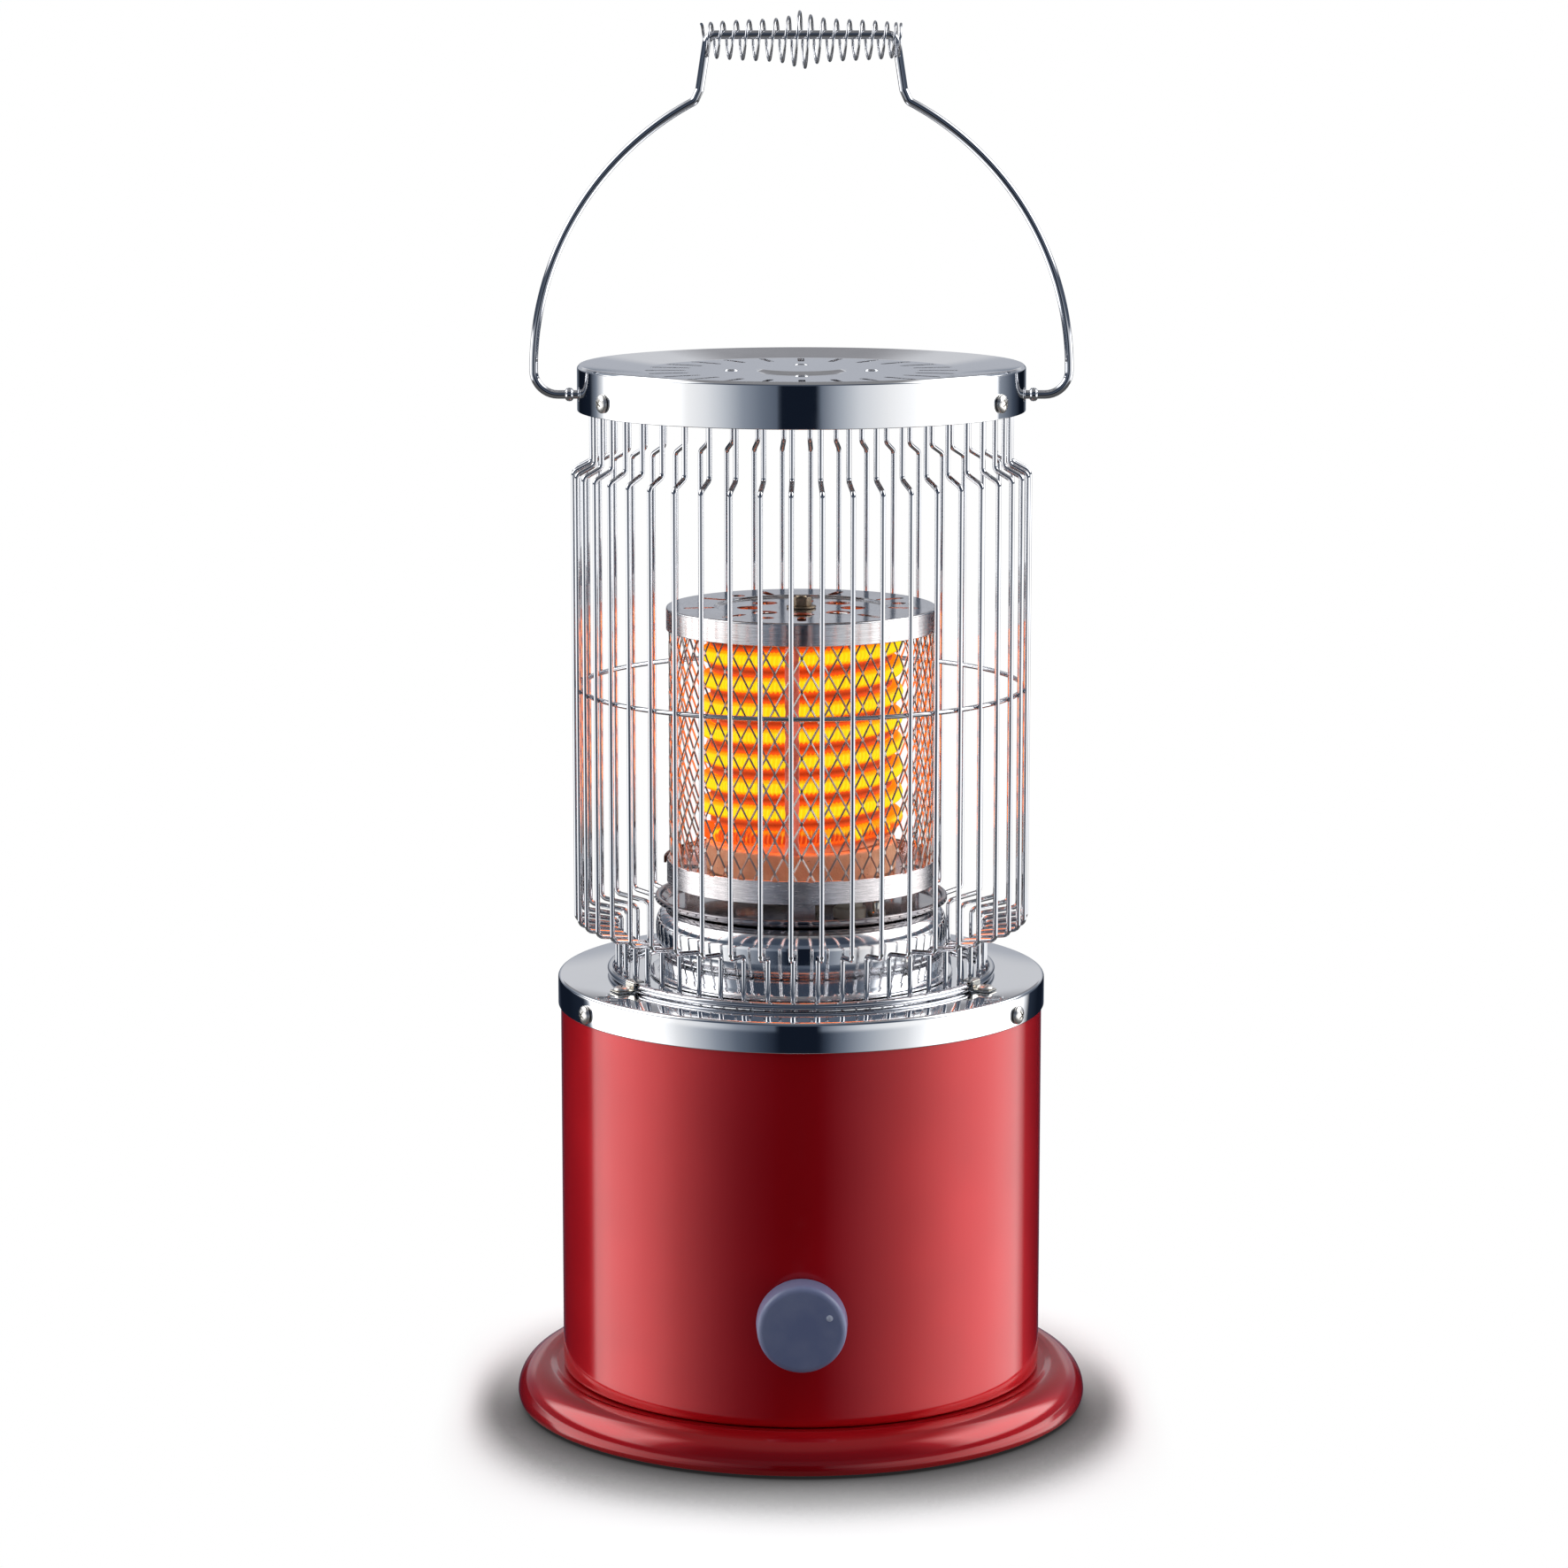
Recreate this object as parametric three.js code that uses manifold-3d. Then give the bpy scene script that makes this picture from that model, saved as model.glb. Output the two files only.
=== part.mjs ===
// A ceramic radiant heater: an enamelled drum on a flanged base, a glowing ceramic core in a
// wire guard, a chromed cap, and a swinging bail with a coiled grip.
// Millimetres, +Z up, front towards -Y, origin on the floor under the middle.

import * as THREE from 'three';
import { mergeVertices } from 'three/addons/utils/BufferGeometryUtils.js';
import Module from 'manifold-3d';

const wasm = await Module();
wasm.setup();

// General sizes
const clearance = 0.3;
const overrun = 2;
const sheet = 1;
const fineSheet = 0.8;
const weldSink = 0.2;

// Counts of flat faces round a turned piece, and round a wire
const largeFaces = 30;
const mediumFaces = 24;
const hiddenFaces = 15;
const smallFaces = 10;
const holeFaces = 8;
const eyeFaces = 6;
const wireFaces = 4;
const rodFaces = 6;
const springFaces = 5;

// Rubber feet
const foot = {
  count: 4, height: 4, radius: 10, stemRadius: 2.8, barbRadius: 4.2, barbHeight: 2.4,
  inset: 15, firstAzimuth: 45,
};

// Drum and its flange. The margin is how far the drum stands out past the guard
const drum = { margin: 8.3, height: 202.5, ledge: 12.2 };
const flange = {
  lipDrop: 2.4, height: 16.6, crestRise: 1.2, valleyWidth: 3.3, riseWidth: 6, rollWidth: 14.2,
  widestRise: 2.4, lipInset: 0.5, rollSteps: 3,
};
const bottomPlate = {
  lipWidth: 11, slotCount: 8, slotLength: 34, slotWidth: 5, slotInset: 32,
};
const bottomScrew = { count: 3, firstAzimuth: 30, lipInset: 5 };

// Chromed cover of the drum
const cover = { skirt: 15.3, bevel: 1.2, opening: 62 };
const coverScrew = { count: 3, firstAzimuth: 60, drop: 9.5 };
const screw = { headRadius: 4.7, headHeight: 2.6, shankRadius: 2, length: 11 };
const crownShare = 0.65;

// Pedestal, and the pan that it carries
const pedestal = {
  height: 35, panInset: 3, shoulder: 8.3, bellyHeight: 24.4, taper: 2.2, footWidth: 5.4, wallFoot: 1.4,
  lip: 8.5, shoulderSteps: 2,
};
const pan = {
  margin: 0.5, kneeWidth: 3.3, kneeRise: 2, flare: 5.6, hemHeight: 2.3, height: 4.8, rimWidth: 1.7,
  rimInset: 0.9, slopeFoot: 0.5,
};

// Core: tray, legs, mesh, ceramic and coil. The mesh's radius leads all radii round the core
const mesh = {
  radius: 66.9, thickness: 1, height: 132.1, around: 12, rows: 5, strand: 2.6, band: 5.2, topBand: 11.6,
};
const tray = { drop: 5.9, rise: 5.2, holeCount: 6, holeRadius: 6, holeInset: 12 };
const leg = { count: 3, width: 13.4, thickness: 1.2, height: 15.7, tab: 10, inset: 3 };
const ceramic = { headroom: 8.1, collarLip: 2.2, collarHeight: 14.8, coilGap: 1.5, ridge: 4.2, bore: 22 };
const coil = {
  rows: 8, tubeRadius: 4.2, meshGap: 18.6, firstRow: 23, lastRowDrop: 11.5, steps: 16, sides: 6,
  startAzimuth: -90, endAzimuth: 90,
};
const retainer = { width: 7.2, thickness: 2.2, azimuth: -5.1, topDrop: 4.9 };
const topPlate = {
  skirt: 11.6, recess: 1.1, recessInset: 25.6, slotCount: 9, slotLength: 16, slotWidth: 4.4, slotInset: 16,
  holeCount: 8, holeRadius: 6.4, holeCircle: 26, eyeCount: 3, eyeRadius: 3.6, eyeInset: 18, eyeAzimuth: -20,
};
const tieRod = {
  radius: 3, head: 5.5, headHeight: 2.5, nutRadius: 5.2, nutHeight: 4.4, washer: 7.5, tip: 2.2,
};
const insulator = {
  radius: 8.2, waist: 6.4, bore: 2.2, inset: 16.1, azimuth: 27.6, rim: 5, pairTurn: 150,
};
const terminal = { stud: 2, nutRadius: 4.6, headHeight: 3.2, gap: 0.62, turn: 62.5, height: 8 };

// Wire guard
const guard = {
  wires: 48, firstAzimuth: -2.67, wireRadius: 1.25, footMargin: 16.4, lowStep: 20.5, highStep: 9.3,
  footHeight: 25.7, lowJog: 2.6, straight: 227, highJog: 4.9, neck: 44.7, ringRadius: 2, midRing: 118.3,
  wireEnd: 1.2,
};
const clip = { count: 3, width: 8, thickness: 1, foot: 9, gaps: 8.5, hook: 5.1, screwInset: 4.4 };
const clipScrew = { headRadius: 4, headHeight: 2, shankRadius: 1.6, length: 9 };

// Cap and the ring that it sits on
const seatRing = { margin: 5.9, below: 16.5, shelf: 9 };
const cap = {
  skirt: 22.8, bevel: 1.4, dish: 3.4, discRadius: 80, bossRadius: 20, bossSlope: 3, bossRise: 1.1,
  slotCount: 24, slotLength: 21, slotWidth: 3.4, slotCircle: 68, eyeCount: 4, eyeRadius: 3, eyeCircle: 35,
};
const capScrew = { count: 3, firstAzimuth: 60, rise: 7.6, length: 6 };

// Bail and its coiled grip
const bail = {
  wireRadius: 2.15, pivotRise: 7.4, headRadius: 3.3, headLength: 2.4, tail: 3, swageRadius: 3.3,
  swageLength: 2.6, swageGap: 2, reach: 9.6, lowBend: 12, lowSteps: 4, armRadius: 149.7, armAngle: 62.5,
  armSteps: 9, neckLean: 4.1, neckRise: 22, shoulderRise: 5.6, shoulderStep: 2.5, cornerRadius: 4.7,
  cornerSteps: 3, ramp: 0.6,
};
const grip = {
  wireRadius: 0.7, turns: 17, steps: 8, endRadius: 7.8, swell: 1.9, peak: 5.2, peakWidth: 5.5, drop: 2.6,
};

// Knob, switch and what else the drum holds
const knob = {
  height: 72.5, backRadius: 22.75, frontRadius: 21.75, depth: 14, fillet: 3.4, gap: 1, wall: 3, hub: 6.6,
  hubInset: 4.3, cornerShare: 0.3, dotRadius: 1.3, dotRise: 0.5, dotCircle: 14.8, dotAzimuth: 65, faces: 18,
  boreDepth: 5.4,
};
const shaft = { radius: 3, tail: 16 };
const rotary = {
  width: 30, height: 30, depth: 22, neckRadius: 4.7, neckLength: 4, nutRadius: 7.6, nutHeight: 3,
  wallGap: 2.2, tabCount: 2, tabWidth: 5, tabLength: 7, tabPlace: 9,
};
const block = { width: 44, depth: 20, height: 18, boreRadius: 2.6, ways: 3, place: 58 };
const gland = {
  height: 46, flangeRadius: 11, flangeLength: 2.4, neckRadius: 7, noseRadius: 6.4, tipRadius: 5.1,
  noseLength: 14, bore: 3.6, barbRadius: 8.6, barbLength: 3,
};
const lead = { radius: 1.3, sides: 4, steps: 10, rise: 10 };

// Heights, from the floor up
const plateBottom = foot.height;
const plateTop = plateBottom + sheet;
const lipBottom = plateBottom - flange.lipDrop;
const ledgeTop = lipBottom + flange.height;
const drumBottom = ledgeTop + clearance;
const drumTop = drumBottom + drum.height;
const coverTop = drumTop + clearance + sheet;
const skirtBottom = coverTop - cover.skirt;
const pedestalBottom = coverTop + clearance;
const pedestalTop = pedestalBottom + pedestal.height;
const panUnderside = pedestalTop + clearance;
const panFloor = panUnderside + sheet;
const legBottom = panFloor + clearance;
const trayUnderside = legBottom + leg.height + clearance;
const trayFloor = trayUnderside + fineSheet;
const coreBottom = trayFloor + clearance;
const meshTop = coreBottom + mesh.height;
const ceramicTop = meshTop - ceramic.headroom;
const plateUnderside = meshTop + clearance;
const coreTop = plateUnderside + fineSheet;
const ringHeight = coverTop + clearance + guard.ringRadius;
const lowBend = coverTop + guard.footHeight;
const lowCorner = lowBend + guard.lowJog;
const highCorner = lowCorner + guard.straight;
const highBend = highCorner + guard.highJog;
const wireTop = highBend + guard.neck;
const shelfBottom = wireTop + clearance;
const seatBottom = shelfBottom - seatRing.below;
const seatTop = shelfBottom + sheet;

// Core radii, inwards from the mesh
const meshInside = mesh.radius - mesh.thickness;
const coilCircle = meshInside - coil.meshGap;
const grooveRadius = coilCircle - coil.tubeRadius - ceramic.coilGap;
const ridgeRadius = grooveRadius + ceramic.ridge;
const collarRadius = ridgeRadius + ceramic.collarLip;

// Tray and top plate round the mesh, and what stands inside their edge
const canInside = mesh.radius + clearance;
const canRadius = canInside + fineSheet;
const trayHoleCircle = canRadius - tray.holeInset;
const legCircle = canRadius - leg.inset - leg.tab;
const insulatorCircle = canRadius - insulator.inset;
const recessRadius = canRadius - topPlate.recessInset;

// Pan, pedestal, guard and drum, outwards from the core
const panFloorRadius = canRadius + pan.margin;
const panRadius = panFloorRadius + pan.flare;
const pedestalTopRadius = panFloorRadius - pedestal.panInset;
const bellyRadius = pedestalTopRadius + pedestal.shoulder;
const waistRadius = bellyRadius - pedestal.taper;
const footCircle = waistRadius + pedestal.footWidth + guard.footMargin;
const guardCircle = footCircle + guard.lowStep;
const topCircle = guardCircle - guard.highStep;
const drumRadius = guardCircle + drum.margin;
const drumInside = drumRadius - sheet;
const ledgeRadius = drumRadius - drum.ledge;
const coverRadius = drumRadius + clearance + sheet;

// Flange, bottom plate and feet under the drum
const crestRadius = drumRadius + flange.valleyWidth + flange.riseWidth;
const flangeRadius = crestRadius + flange.rollWidth;
const dishRadius = ledgeRadius - sheet;
const rubberCircle = dishRadius - foot.inset;

// Ring and cap round the guard's top
const seatRadius = topCircle + seatRing.margin;
const capInside = seatRadius + clearance;
const capRadius = capInside + sheet;
const capFlat = capRadius - cap.bevel;
const shelfInside = seatRadius - sheet - seatRing.shelf;

// The cap's dished top rests on the inner edge of the ring's shelf
const shelfFall = (cap.dish * (capInside - shelfInside)) / (capInside - cap.discRadius);
const capEdge = seatTop + clearance + sheet + shelfFall;
const capBottom = capEdge - cap.skirt;
const pivotHeight = capBottom + bail.pivotRise;
const squareShare = Math.sqrt(Math.PI / 2);
const squareRadius = guard.wireRadius * squareShare;
const squareHalf = squareRadius / Math.SQRT2;
const footRingCorner = guard.ringRadius * squareShare;
const footRing = footCircle + squareHalf + footRingCorner / Math.SQRT2 - weldSink;
const middleRing = guardCircle - 2 * squareHalf + weldSink;

// Finishes
const finish = (color, roughness, metalness) => (
  new THREE.MeshStandardMaterial({ color, roughness, metalness })
);
const enamel = finish(0xa8141c, 0.15, 0.1);
const chrome = finish(0xd2d6da, 0.08, 1);
const steel = finish(0xb4b0ac, 0.3, 1);
const nickel = finish(0xc9c3b4, 0.25, 1);
const stoneware = finish(0xc0926c, 0.85, 0);
const porcelain = finish(0xcfc8b4, 0.5, 0);
const glow = finish(0xf0d018, 0.5, 0);
const plastic = finish(0x585f74, 0.45, 0);
const darkPlastic = finish(0x2a2b2e, 0.6, 0);
const rubber = finish(0x1c1c1e, 0.9, 0);
const sheath = finish(0xd8d6d0, 0.7, 0);

// Geometry helpers
const radians = THREE.MathUtils.degToRad;
const vector = (x, y, z) => new THREE.Vector3(x, y, z);
const upward = vector(0, 0, 1);

function polar(radius, azimuth, z) {
  return vector(radius * Math.sin(radians(azimuth)), -radius * Math.cos(radians(azimuth)), z);
}

function outward(azimuth) {
  return polar(1, azimuth, 0);
}

function signedVolume(geometry) {
  const corners = geometry.attributes.position;
  const faces = geometry.index.array;
  const [a, b, c] = [vector(), vector(), vector()];
  let sum = 0;
  for (let i = 0; i < faces.length; i += 3) {
    a.fromBufferAttribute(corners, faces[i]);
    b.fromBufferAttribute(corners, faces[i + 1]);
    c.fromBufferAttribute(corners, faces[i + 2]);
    sum += a.dot(b.cross(c));
  }
  return sum;
}

// Shares the corners, drops faces without area and turns all faces outward
function closed(geometry) {
  geometry.deleteAttribute('normal');
  geometry.deleteAttribute('uv');
  const merged = mergeVertices(geometry);
  const faces = [];
  for (let i = 0; i < merged.index.count; i += 3) {
    const [a, b, c] = merged.index.array.slice(i, i + 3);
    if (a !== b && b !== c && c !== a) faces.push([a, b, c]);
  }
  merged.setIndex(faces.flat());
  if (signedVolume(merged) < 0) merged.setIndex(faces.map(([a, b, c]) => [a, c, b]).flat());
  return merged;
}

function toSolid(geometry) {
  const ready = closed(geometry);
  const vertProperties = new Float32Array(ready.attributes.position.array);
  const triVerts = new Uint32Array(ready.index.array);
  return new wasm.Manifold(new wasm.Mesh({ numProp: 3, vertProperties, triVerts }));
}

function toGeometry(solid) {
  const result = solid.getMesh();
  const geometry = new THREE.BufferGeometry();
  const corners = new Float32Array(result.vertProperties);
  geometry.setAttribute('position', new THREE.BufferAttribute(corners, 3));
  geometry.setIndex(new THREE.BufferAttribute(new Uint32Array(result.triVerts), 1));
  return geometry;
}

function cut(body, tools) {
  return toGeometry(tools.map(toSolid).reduce((rest, tool) => rest.subtract(tool), toSolid(body)));
}

function join(pieces) {
  return toGeometry(pieces.map(toSolid).reduce((whole, piece) => whole.add(piece)));
}

// Turns an outline of [radius, height] points round the vertical axis; an outline that doesn't
// start on the axis closes on itself
function revolve(outline, faces) {
  const points = outline.map(([radius, height]) => new THREE.Vector2(radius, height));
  if (outline[0][0] > 0) points.push(points[0].clone());
  const geometry = new THREE.LatheGeometry(points, faces);
  return geometry.rotateX(Math.PI / 2);
}

function aim(geometry, from, direction) {
  const turn = new THREE.Quaternion().setFromUnitVectors(upward, direction.clone().normalize());
  return geometry.applyQuaternion(turn).translate(from.x, from.y, from.z);
}

function rod(radius, from, to, faces = holeFaces) {
  const length = from.distanceTo(to);
  const geometry = new THREE.CylinderGeometry(radius, radius, length, faces);
  geometry.rotateX(Math.PI / 2).translate(0, 0, length / 2);
  return aim(geometry, from, to.clone().sub(from));
}

function bar(width, depth, height, centre) {
  return new THREE.BoxGeometry(width, depth, height).translate(centre.x, centre.y, centre.z);
}

function spokes(count, firstAzimuth, make) {
  return Array.from({ length: count }, (_, i) => make(firstAzimuth + (360 * i) / count, i));
}

// A slot that runs along a radius, cut down through a flat face at a height
function radialSlot(circle, azimuth, length, width, height) {
  const tool = bar(width, length, 2 * overrun, vector(0, -circle, height));
  return tool.rotateZ(radians(azimuth));
}

// The tool for a round hole, whose flats and not its corners lie at the radius
function bore(radius, from, to, faces = holeFaces) {
  return rod(radius / Math.cos(Math.PI / faces), from, to, faces);
}

function holeAt(circle, azimuth, radius, height, faces = holeFaces) {
  const [low, high] = [height - overrun, height + overrun];
  return bore(radius, polar(circle, azimuth, low), polar(circle, azimuth, high), faces);
}

// A round wire or tube along corners, mitred at each; radii may change from corner to corner
function sweep(path, radii, sides, loop = false) {
  const count = path.length;
  const radiusAt = (i) => (Array.isArray(radii) ? radii[i] : radii);
  const stretches = path.map((point, i) => path[(i + 1) % count].clone().sub(point).normalize());
  const side = upward.clone();
  const steep = Math.abs(stretches[0].z) > Math.SQRT1_2;
  if (steep) side.copy(outward(THREE.MathUtils.radToDeg(Math.atan2(path[0].x, -path[0].y))));
  side.addScaledVector(stretches[0], -side.dot(stretches[0])).normalize();
  const corners = [];
  path.forEach((point, i) => {
    const first = !loop && i === 0;
    const last = !loop && i === count - 1;
    const before = first ? stretches[0] : stretches[(i + count - 1) % count];
    const after = last ? before : stretches[i];
    const mitre = before.clone().add(after).normalize();
    const across = before.clone().cross(side);
    for (let k = 0; k < sides; k += 1) {
      const turn = (2 * Math.PI * (k + 0.5)) / sides;
      const spoke = side.clone().multiplyScalar(Math.cos(turn)).addScaledVector(across, Math.sin(turn));
      spoke.addScaledVector(before, -spoke.dot(mitre) / before.dot(mitre));
      corners.push(point.clone().addScaledVector(spoke, radiusAt(i)));
    }
    side.addScaledVector(mitre, -2 * side.dot(mitre));
  });
  const faces = [];
  const rings = loop ? count : count - 1;
  for (let i = 0; i < rings; i += 1) {
    for (let k = 0; k < sides; k += 1) {
      const [a, b] = [i * sides + k, i * sides + ((k + 1) % sides)];
      const [c, d] = [((i + 1) % count) * sides + k, ((i + 1) % count) * sides + ((k + 1) % sides)];
      faces.push(a, b, c, b, d, c);
    }
  }
  for (let k = 1; !loop && k < sides - 1; k += 1) {
    const end = (count - 1) * sides;
    faces.push(0, k + 1, k, end, end + k, end + k + 1);
  }
  const geometry = new THREE.BufferGeometry().setFromPoints(corners);
  geometry.setIndex(faces);
  return geometry;
}

function ring(circle, height, radius, faces, sides) {
  const path = spokes(faces, 0, (azimuth) => polar(circle, azimuth, height));
  return sweep(path, radius, sides, true);
}

// The least distance between the wall of one wound tube and itself, more than a turn apart
function leastGap(path, radii, turnSteps) {
  let least = Infinity;
  const radiusAt = (i) => (Array.isArray(radii) ? radii[i] : radii);
  for (let i = 0; i < path.length; i += 1) {
    for (let j = i + Math.ceil(turnSteps / 2); j < path.length; j += 1) {
      least = Math.min(least, path[i].distanceTo(path[j]) - radiusAt(i) - radiusAt(j));
    }
  }
  return least;
}

const heater = new THREE.Group();

function add(name, geometry, material, parent = heater) {
  const piece = new THREE.Mesh(closed(geometry), material);
  piece.name = name;
  parent.add(piece);
  return piece;
}

// Points a piece that was made along +Z in another direction, from a seat
function seat(piece, point, direction) {
  piece.position.copy(point);
  piece.quaternion.setFromUnitVectors(upward, direction);
  return piece;
}

// A pan head on a plain shank, head upward from the seat at zero
function screwGeometry({ headRadius, headHeight, shankRadius, length }) {
  return revolve([
    [0, -length], [shankRadius, -length], [shankRadius, 0], [headRadius, 0],
    [headRadius * crownShare, headHeight], [0, headHeight],
  ], holeFaces);
}

function hexagon(radius, bottom, top) {
  return rod(radius, vector(0, 0, bottom), vector(0, 0, top), 6);
}

// Base: flange, bottom plate, feet
function flangeGeometry() {
  const roll = (offset) => Array.from({ length: flange.rollSteps + 1 }, (_, i) => {
    const turn = (Math.PI / 2) * (i / flange.rollSteps);
    const width = flange.rollWidth - offset;
    const widest = lipBottom + flange.widestRise;
    const rise = ledgeTop + flange.crestRise - widest - offset;
    return [crestRadius + width * Math.sin(turn), widest + rise * Math.cos(turn)];
  });
  const valley = drumRadius + flange.valleyWidth;
  const lip = flangeRadius - flange.lipInset;
  const outline = [
    [ledgeRadius, ledgeTop], [valley, ledgeTop], ...roll(0), [lip, lipBottom], [lip - sheet, lipBottom],
    ...roll(sheet).reverse(), [valley, ledgeTop - sheet], [ledgeRadius, ledgeTop - sheet],
  ];
  const holes = spokes(bottomScrew.count, bottomScrew.firstAzimuth, (azimuth) => (
    holeAt(ledgeRadius + bottomScrew.lipInset, azimuth, screw.shankRadius + clearance, ledgeTop, eyeFaces)
  ));
  return cut(revolve(outline, largeFaces), holes);
}

const plateLipTop = ledgeTop - sheet - clearance;

function bottomPlateGeometry() {
  const lipEdge = dishRadius + bottomPlate.lipWidth;
  const slotCircle = rubberCircle - bottomPlate.slotInset;
  const outline = [
    [0, plateBottom], [dishRadius, plateBottom], [dishRadius, plateLipTop - sheet],
    [lipEdge, plateLipTop - sheet], [lipEdge, plateLipTop], [dishRadius - sheet, plateLipTop],
    [dishRadius - sheet, plateTop], [0, plateTop],
  ];
  const screwHoles = spokes(bottomScrew.count, bottomScrew.firstAzimuth, (azimuth) => (
    holeAt(ledgeRadius + bottomScrew.lipInset, azimuth, screw.shankRadius + clearance, plateLipTop, eyeFaces)
  ));
  const footHoles = spokes(foot.count, foot.firstAzimuth, (azimuth) => (
    holeAt(rubberCircle, azimuth, foot.stemRadius + clearance, plateTop, eyeFaces)
  ));
  const vents = spokes(bottomPlate.slotCount, 0, (azimuth) => (
    radialSlot(slotCircle, azimuth, bottomPlate.slotLength, bottomPlate.slotWidth, plateTop)
  ));
  return cut(revolve(outline, hiddenFaces), [...screwHoles, ...footHoles, ...vents]);
}

function footGeometry() {
  const pad = plateBottom - clearance;
  const barb = plateTop + clearance;
  return revolve([
    [0, 0], [foot.radius, 0], [foot.radius, pad], [foot.stemRadius, pad], [foot.stemRadius, barb],
    [foot.barbRadius, barb], [foot.stemRadius, barb + foot.barbHeight], [0, barb + foot.barbHeight],
  ], holeFaces);
}

add('base_flange', flangeGeometry(), enamel);
add('bottom_plate', bottomPlateGeometry(), steel);
spokes(foot.count, foot.firstAzimuth, (azimuth, i) => {
  add(`foot_${i + 1}`, footGeometry(), rubber).position.copy(polar(rubberCircle, azimuth, 0));
});
spokes(bottomScrew.count, bottomScrew.firstAzimuth, (azimuth, i) => {
  const length = flange.crestRise + 3 * sheet;
  const piece = add(`bottom_screw_${i + 1}`, screwGeometry({ ...screw, length }), nickel);
  const under = plateLipTop - sheet - clearance;
  seat(piece, polar(ledgeRadius + bottomScrew.lipInset, azimuth, under), vector(0, 0, -1));
});

// Drum, its cover and the screws through both
const coverScrewHeight = coverTop - coverScrew.drop;

function coverScrewHoles() {
  return spokes(coverScrew.count, coverScrew.firstAzimuth, (azimuth) => bore(
    screw.shankRadius + clearance,
    polar(drumInside - overrun - overrun, azimuth, coverScrewHeight),
    polar(coverRadius + overrun, azimuth, coverScrewHeight),
  ));
}

function drumGeometry() {
  const outline = [
    [ledgeRadius, drumBottom], [drumRadius, drumBottom], [drumRadius, drumTop], [drumInside, drumTop],
    [drumInside, drumBottom + sheet], [ledgeRadius, drumBottom + sheet],
  ];
  const footScrews = spokes(bottomScrew.count, bottomScrew.firstAzimuth, (azimuth) => (
    holeAt(ledgeRadius + bottomScrew.lipInset, azimuth, screw.shankRadius + clearance, drumBottom, eyeFaces)
  ));
  const neckHole = bore(
    rotary.neckRadius + clearance,
    vector(0, -drumInside + overrun, knob.height),
    vector(0, -drumRadius - overrun, knob.height),
  );
  const glandHole = bore(
    gland.neckRadius + clearance,
    vector(0, drumInside - overrun, gland.height),
    vector(0, drumRadius + overrun, gland.height),
  );
  return cut(revolve(outline, largeFaces), [...coverScrewHoles(), ...footScrews, neckHole, glandHole]);
}

function coverGeometry() {
  const inside = coverRadius - sheet;
  const outline = [
    [cover.opening, coverTop - sheet], [inside, coverTop - sheet], [inside, skirtBottom],
    [coverRadius, skirtBottom], [coverRadius, coverTop - cover.bevel],
    [coverRadius - cover.bevel, coverTop], [cover.opening, coverTop],
  ];
  const clipHoles = spokes(clip.count, clipAzimuth, (azimuth) => (
    holeAt(clipScrewCircle, azimuth, clipScrew.shankRadius + clearance, coverTop)
  ));
  return cut(revolve(outline, largeFaces), [...coverScrewHoles(), ...clipHoles]);
}

const clipAzimuth = guard.firstAzimuth + (360 / guard.wires) * clip.gaps;
const clipFace = footRing + guard.ringRadius + clearance;
const clipScrewCircle = clipFace + clip.thickness + clip.foot - clip.screwInset;

add('drum_shell', drumGeometry(), enamel);
add('base_cover', coverGeometry(), chrome);
spokes(coverScrew.count, coverScrew.firstAzimuth, (azimuth, i) => {
  const piece = add(`cover_screw_${i + 1}`, screwGeometry(screw), nickel);
  seat(piece, polar(coverRadius + clearance, azimuth, coverScrewHeight), outward(azimuth));
});

// Pedestal and pan
const pair = (azimuth) => [azimuth, azimuth + insulator.pairTurn];

function pedestalGeometry() {
  const belly = pedestalBottom + pedestal.bellyHeight;
  const shoulder = (offset) => Array.from({ length: pedestal.shoulderSteps + 1 }, (_, i) => {
    const turn = (Math.PI / 2) * (i / pedestal.shoulderSteps);
    const [width, rise] = [pedestal.shoulder - offset, pedestalTop - belly - offset];
    return [pedestalTopRadius + width * Math.cos(turn), belly + rise * Math.sin(turn)];
  });
  const footTop = pedestalBottom + sheet;
  const footEdge = waistRadius + pedestal.footWidth;
  const opening = pedestalTopRadius - pedestal.lip;
  return revolve([
    [waistRadius - sheet, pedestalBottom], [footEdge, pedestalBottom], [footEdge, footTop],
    [waistRadius, footTop + pedestal.wallFoot], ...shoulder(0), [opening, pedestalTop],
    [opening, pedestalTop - sheet], ...shoulder(sheet).reverse(),
  ], mediumFaces);
}

function panGeometry() {
  const rodHole = tieRod.radius + clearance;
  const { rimInset, rimWidth } = pan;
  const top = panUnderside + pan.height;
  const knee = panUnderside + pan.kneeRise;
  const outline = [
    [rodHole, panUnderside], [panFloorRadius, panUnderside], [panFloorRadius + pan.kneeWidth, knee],
    [panRadius, top - pan.hemHeight - rimInset], [panRadius, top - rimInset], [panRadius - rimInset, top],
    [panRadius - rimInset - rimWidth, top], [panFloorRadius - pan.slopeFoot, panFloor],
    [rodHole, panFloor],
  ];
  const leadHoles = pair(insulator.azimuth).map((azimuth) => (
    holeAt(insulatorCircle, azimuth, lead.radius + 2 * clearance, panFloor)
  ));
  return cut(revolve(outline, mediumFaces), leadHoles);
}

add('pedestal', pedestalGeometry(), chrome);
add('reflector_pan', panGeometry(), chrome);

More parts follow.
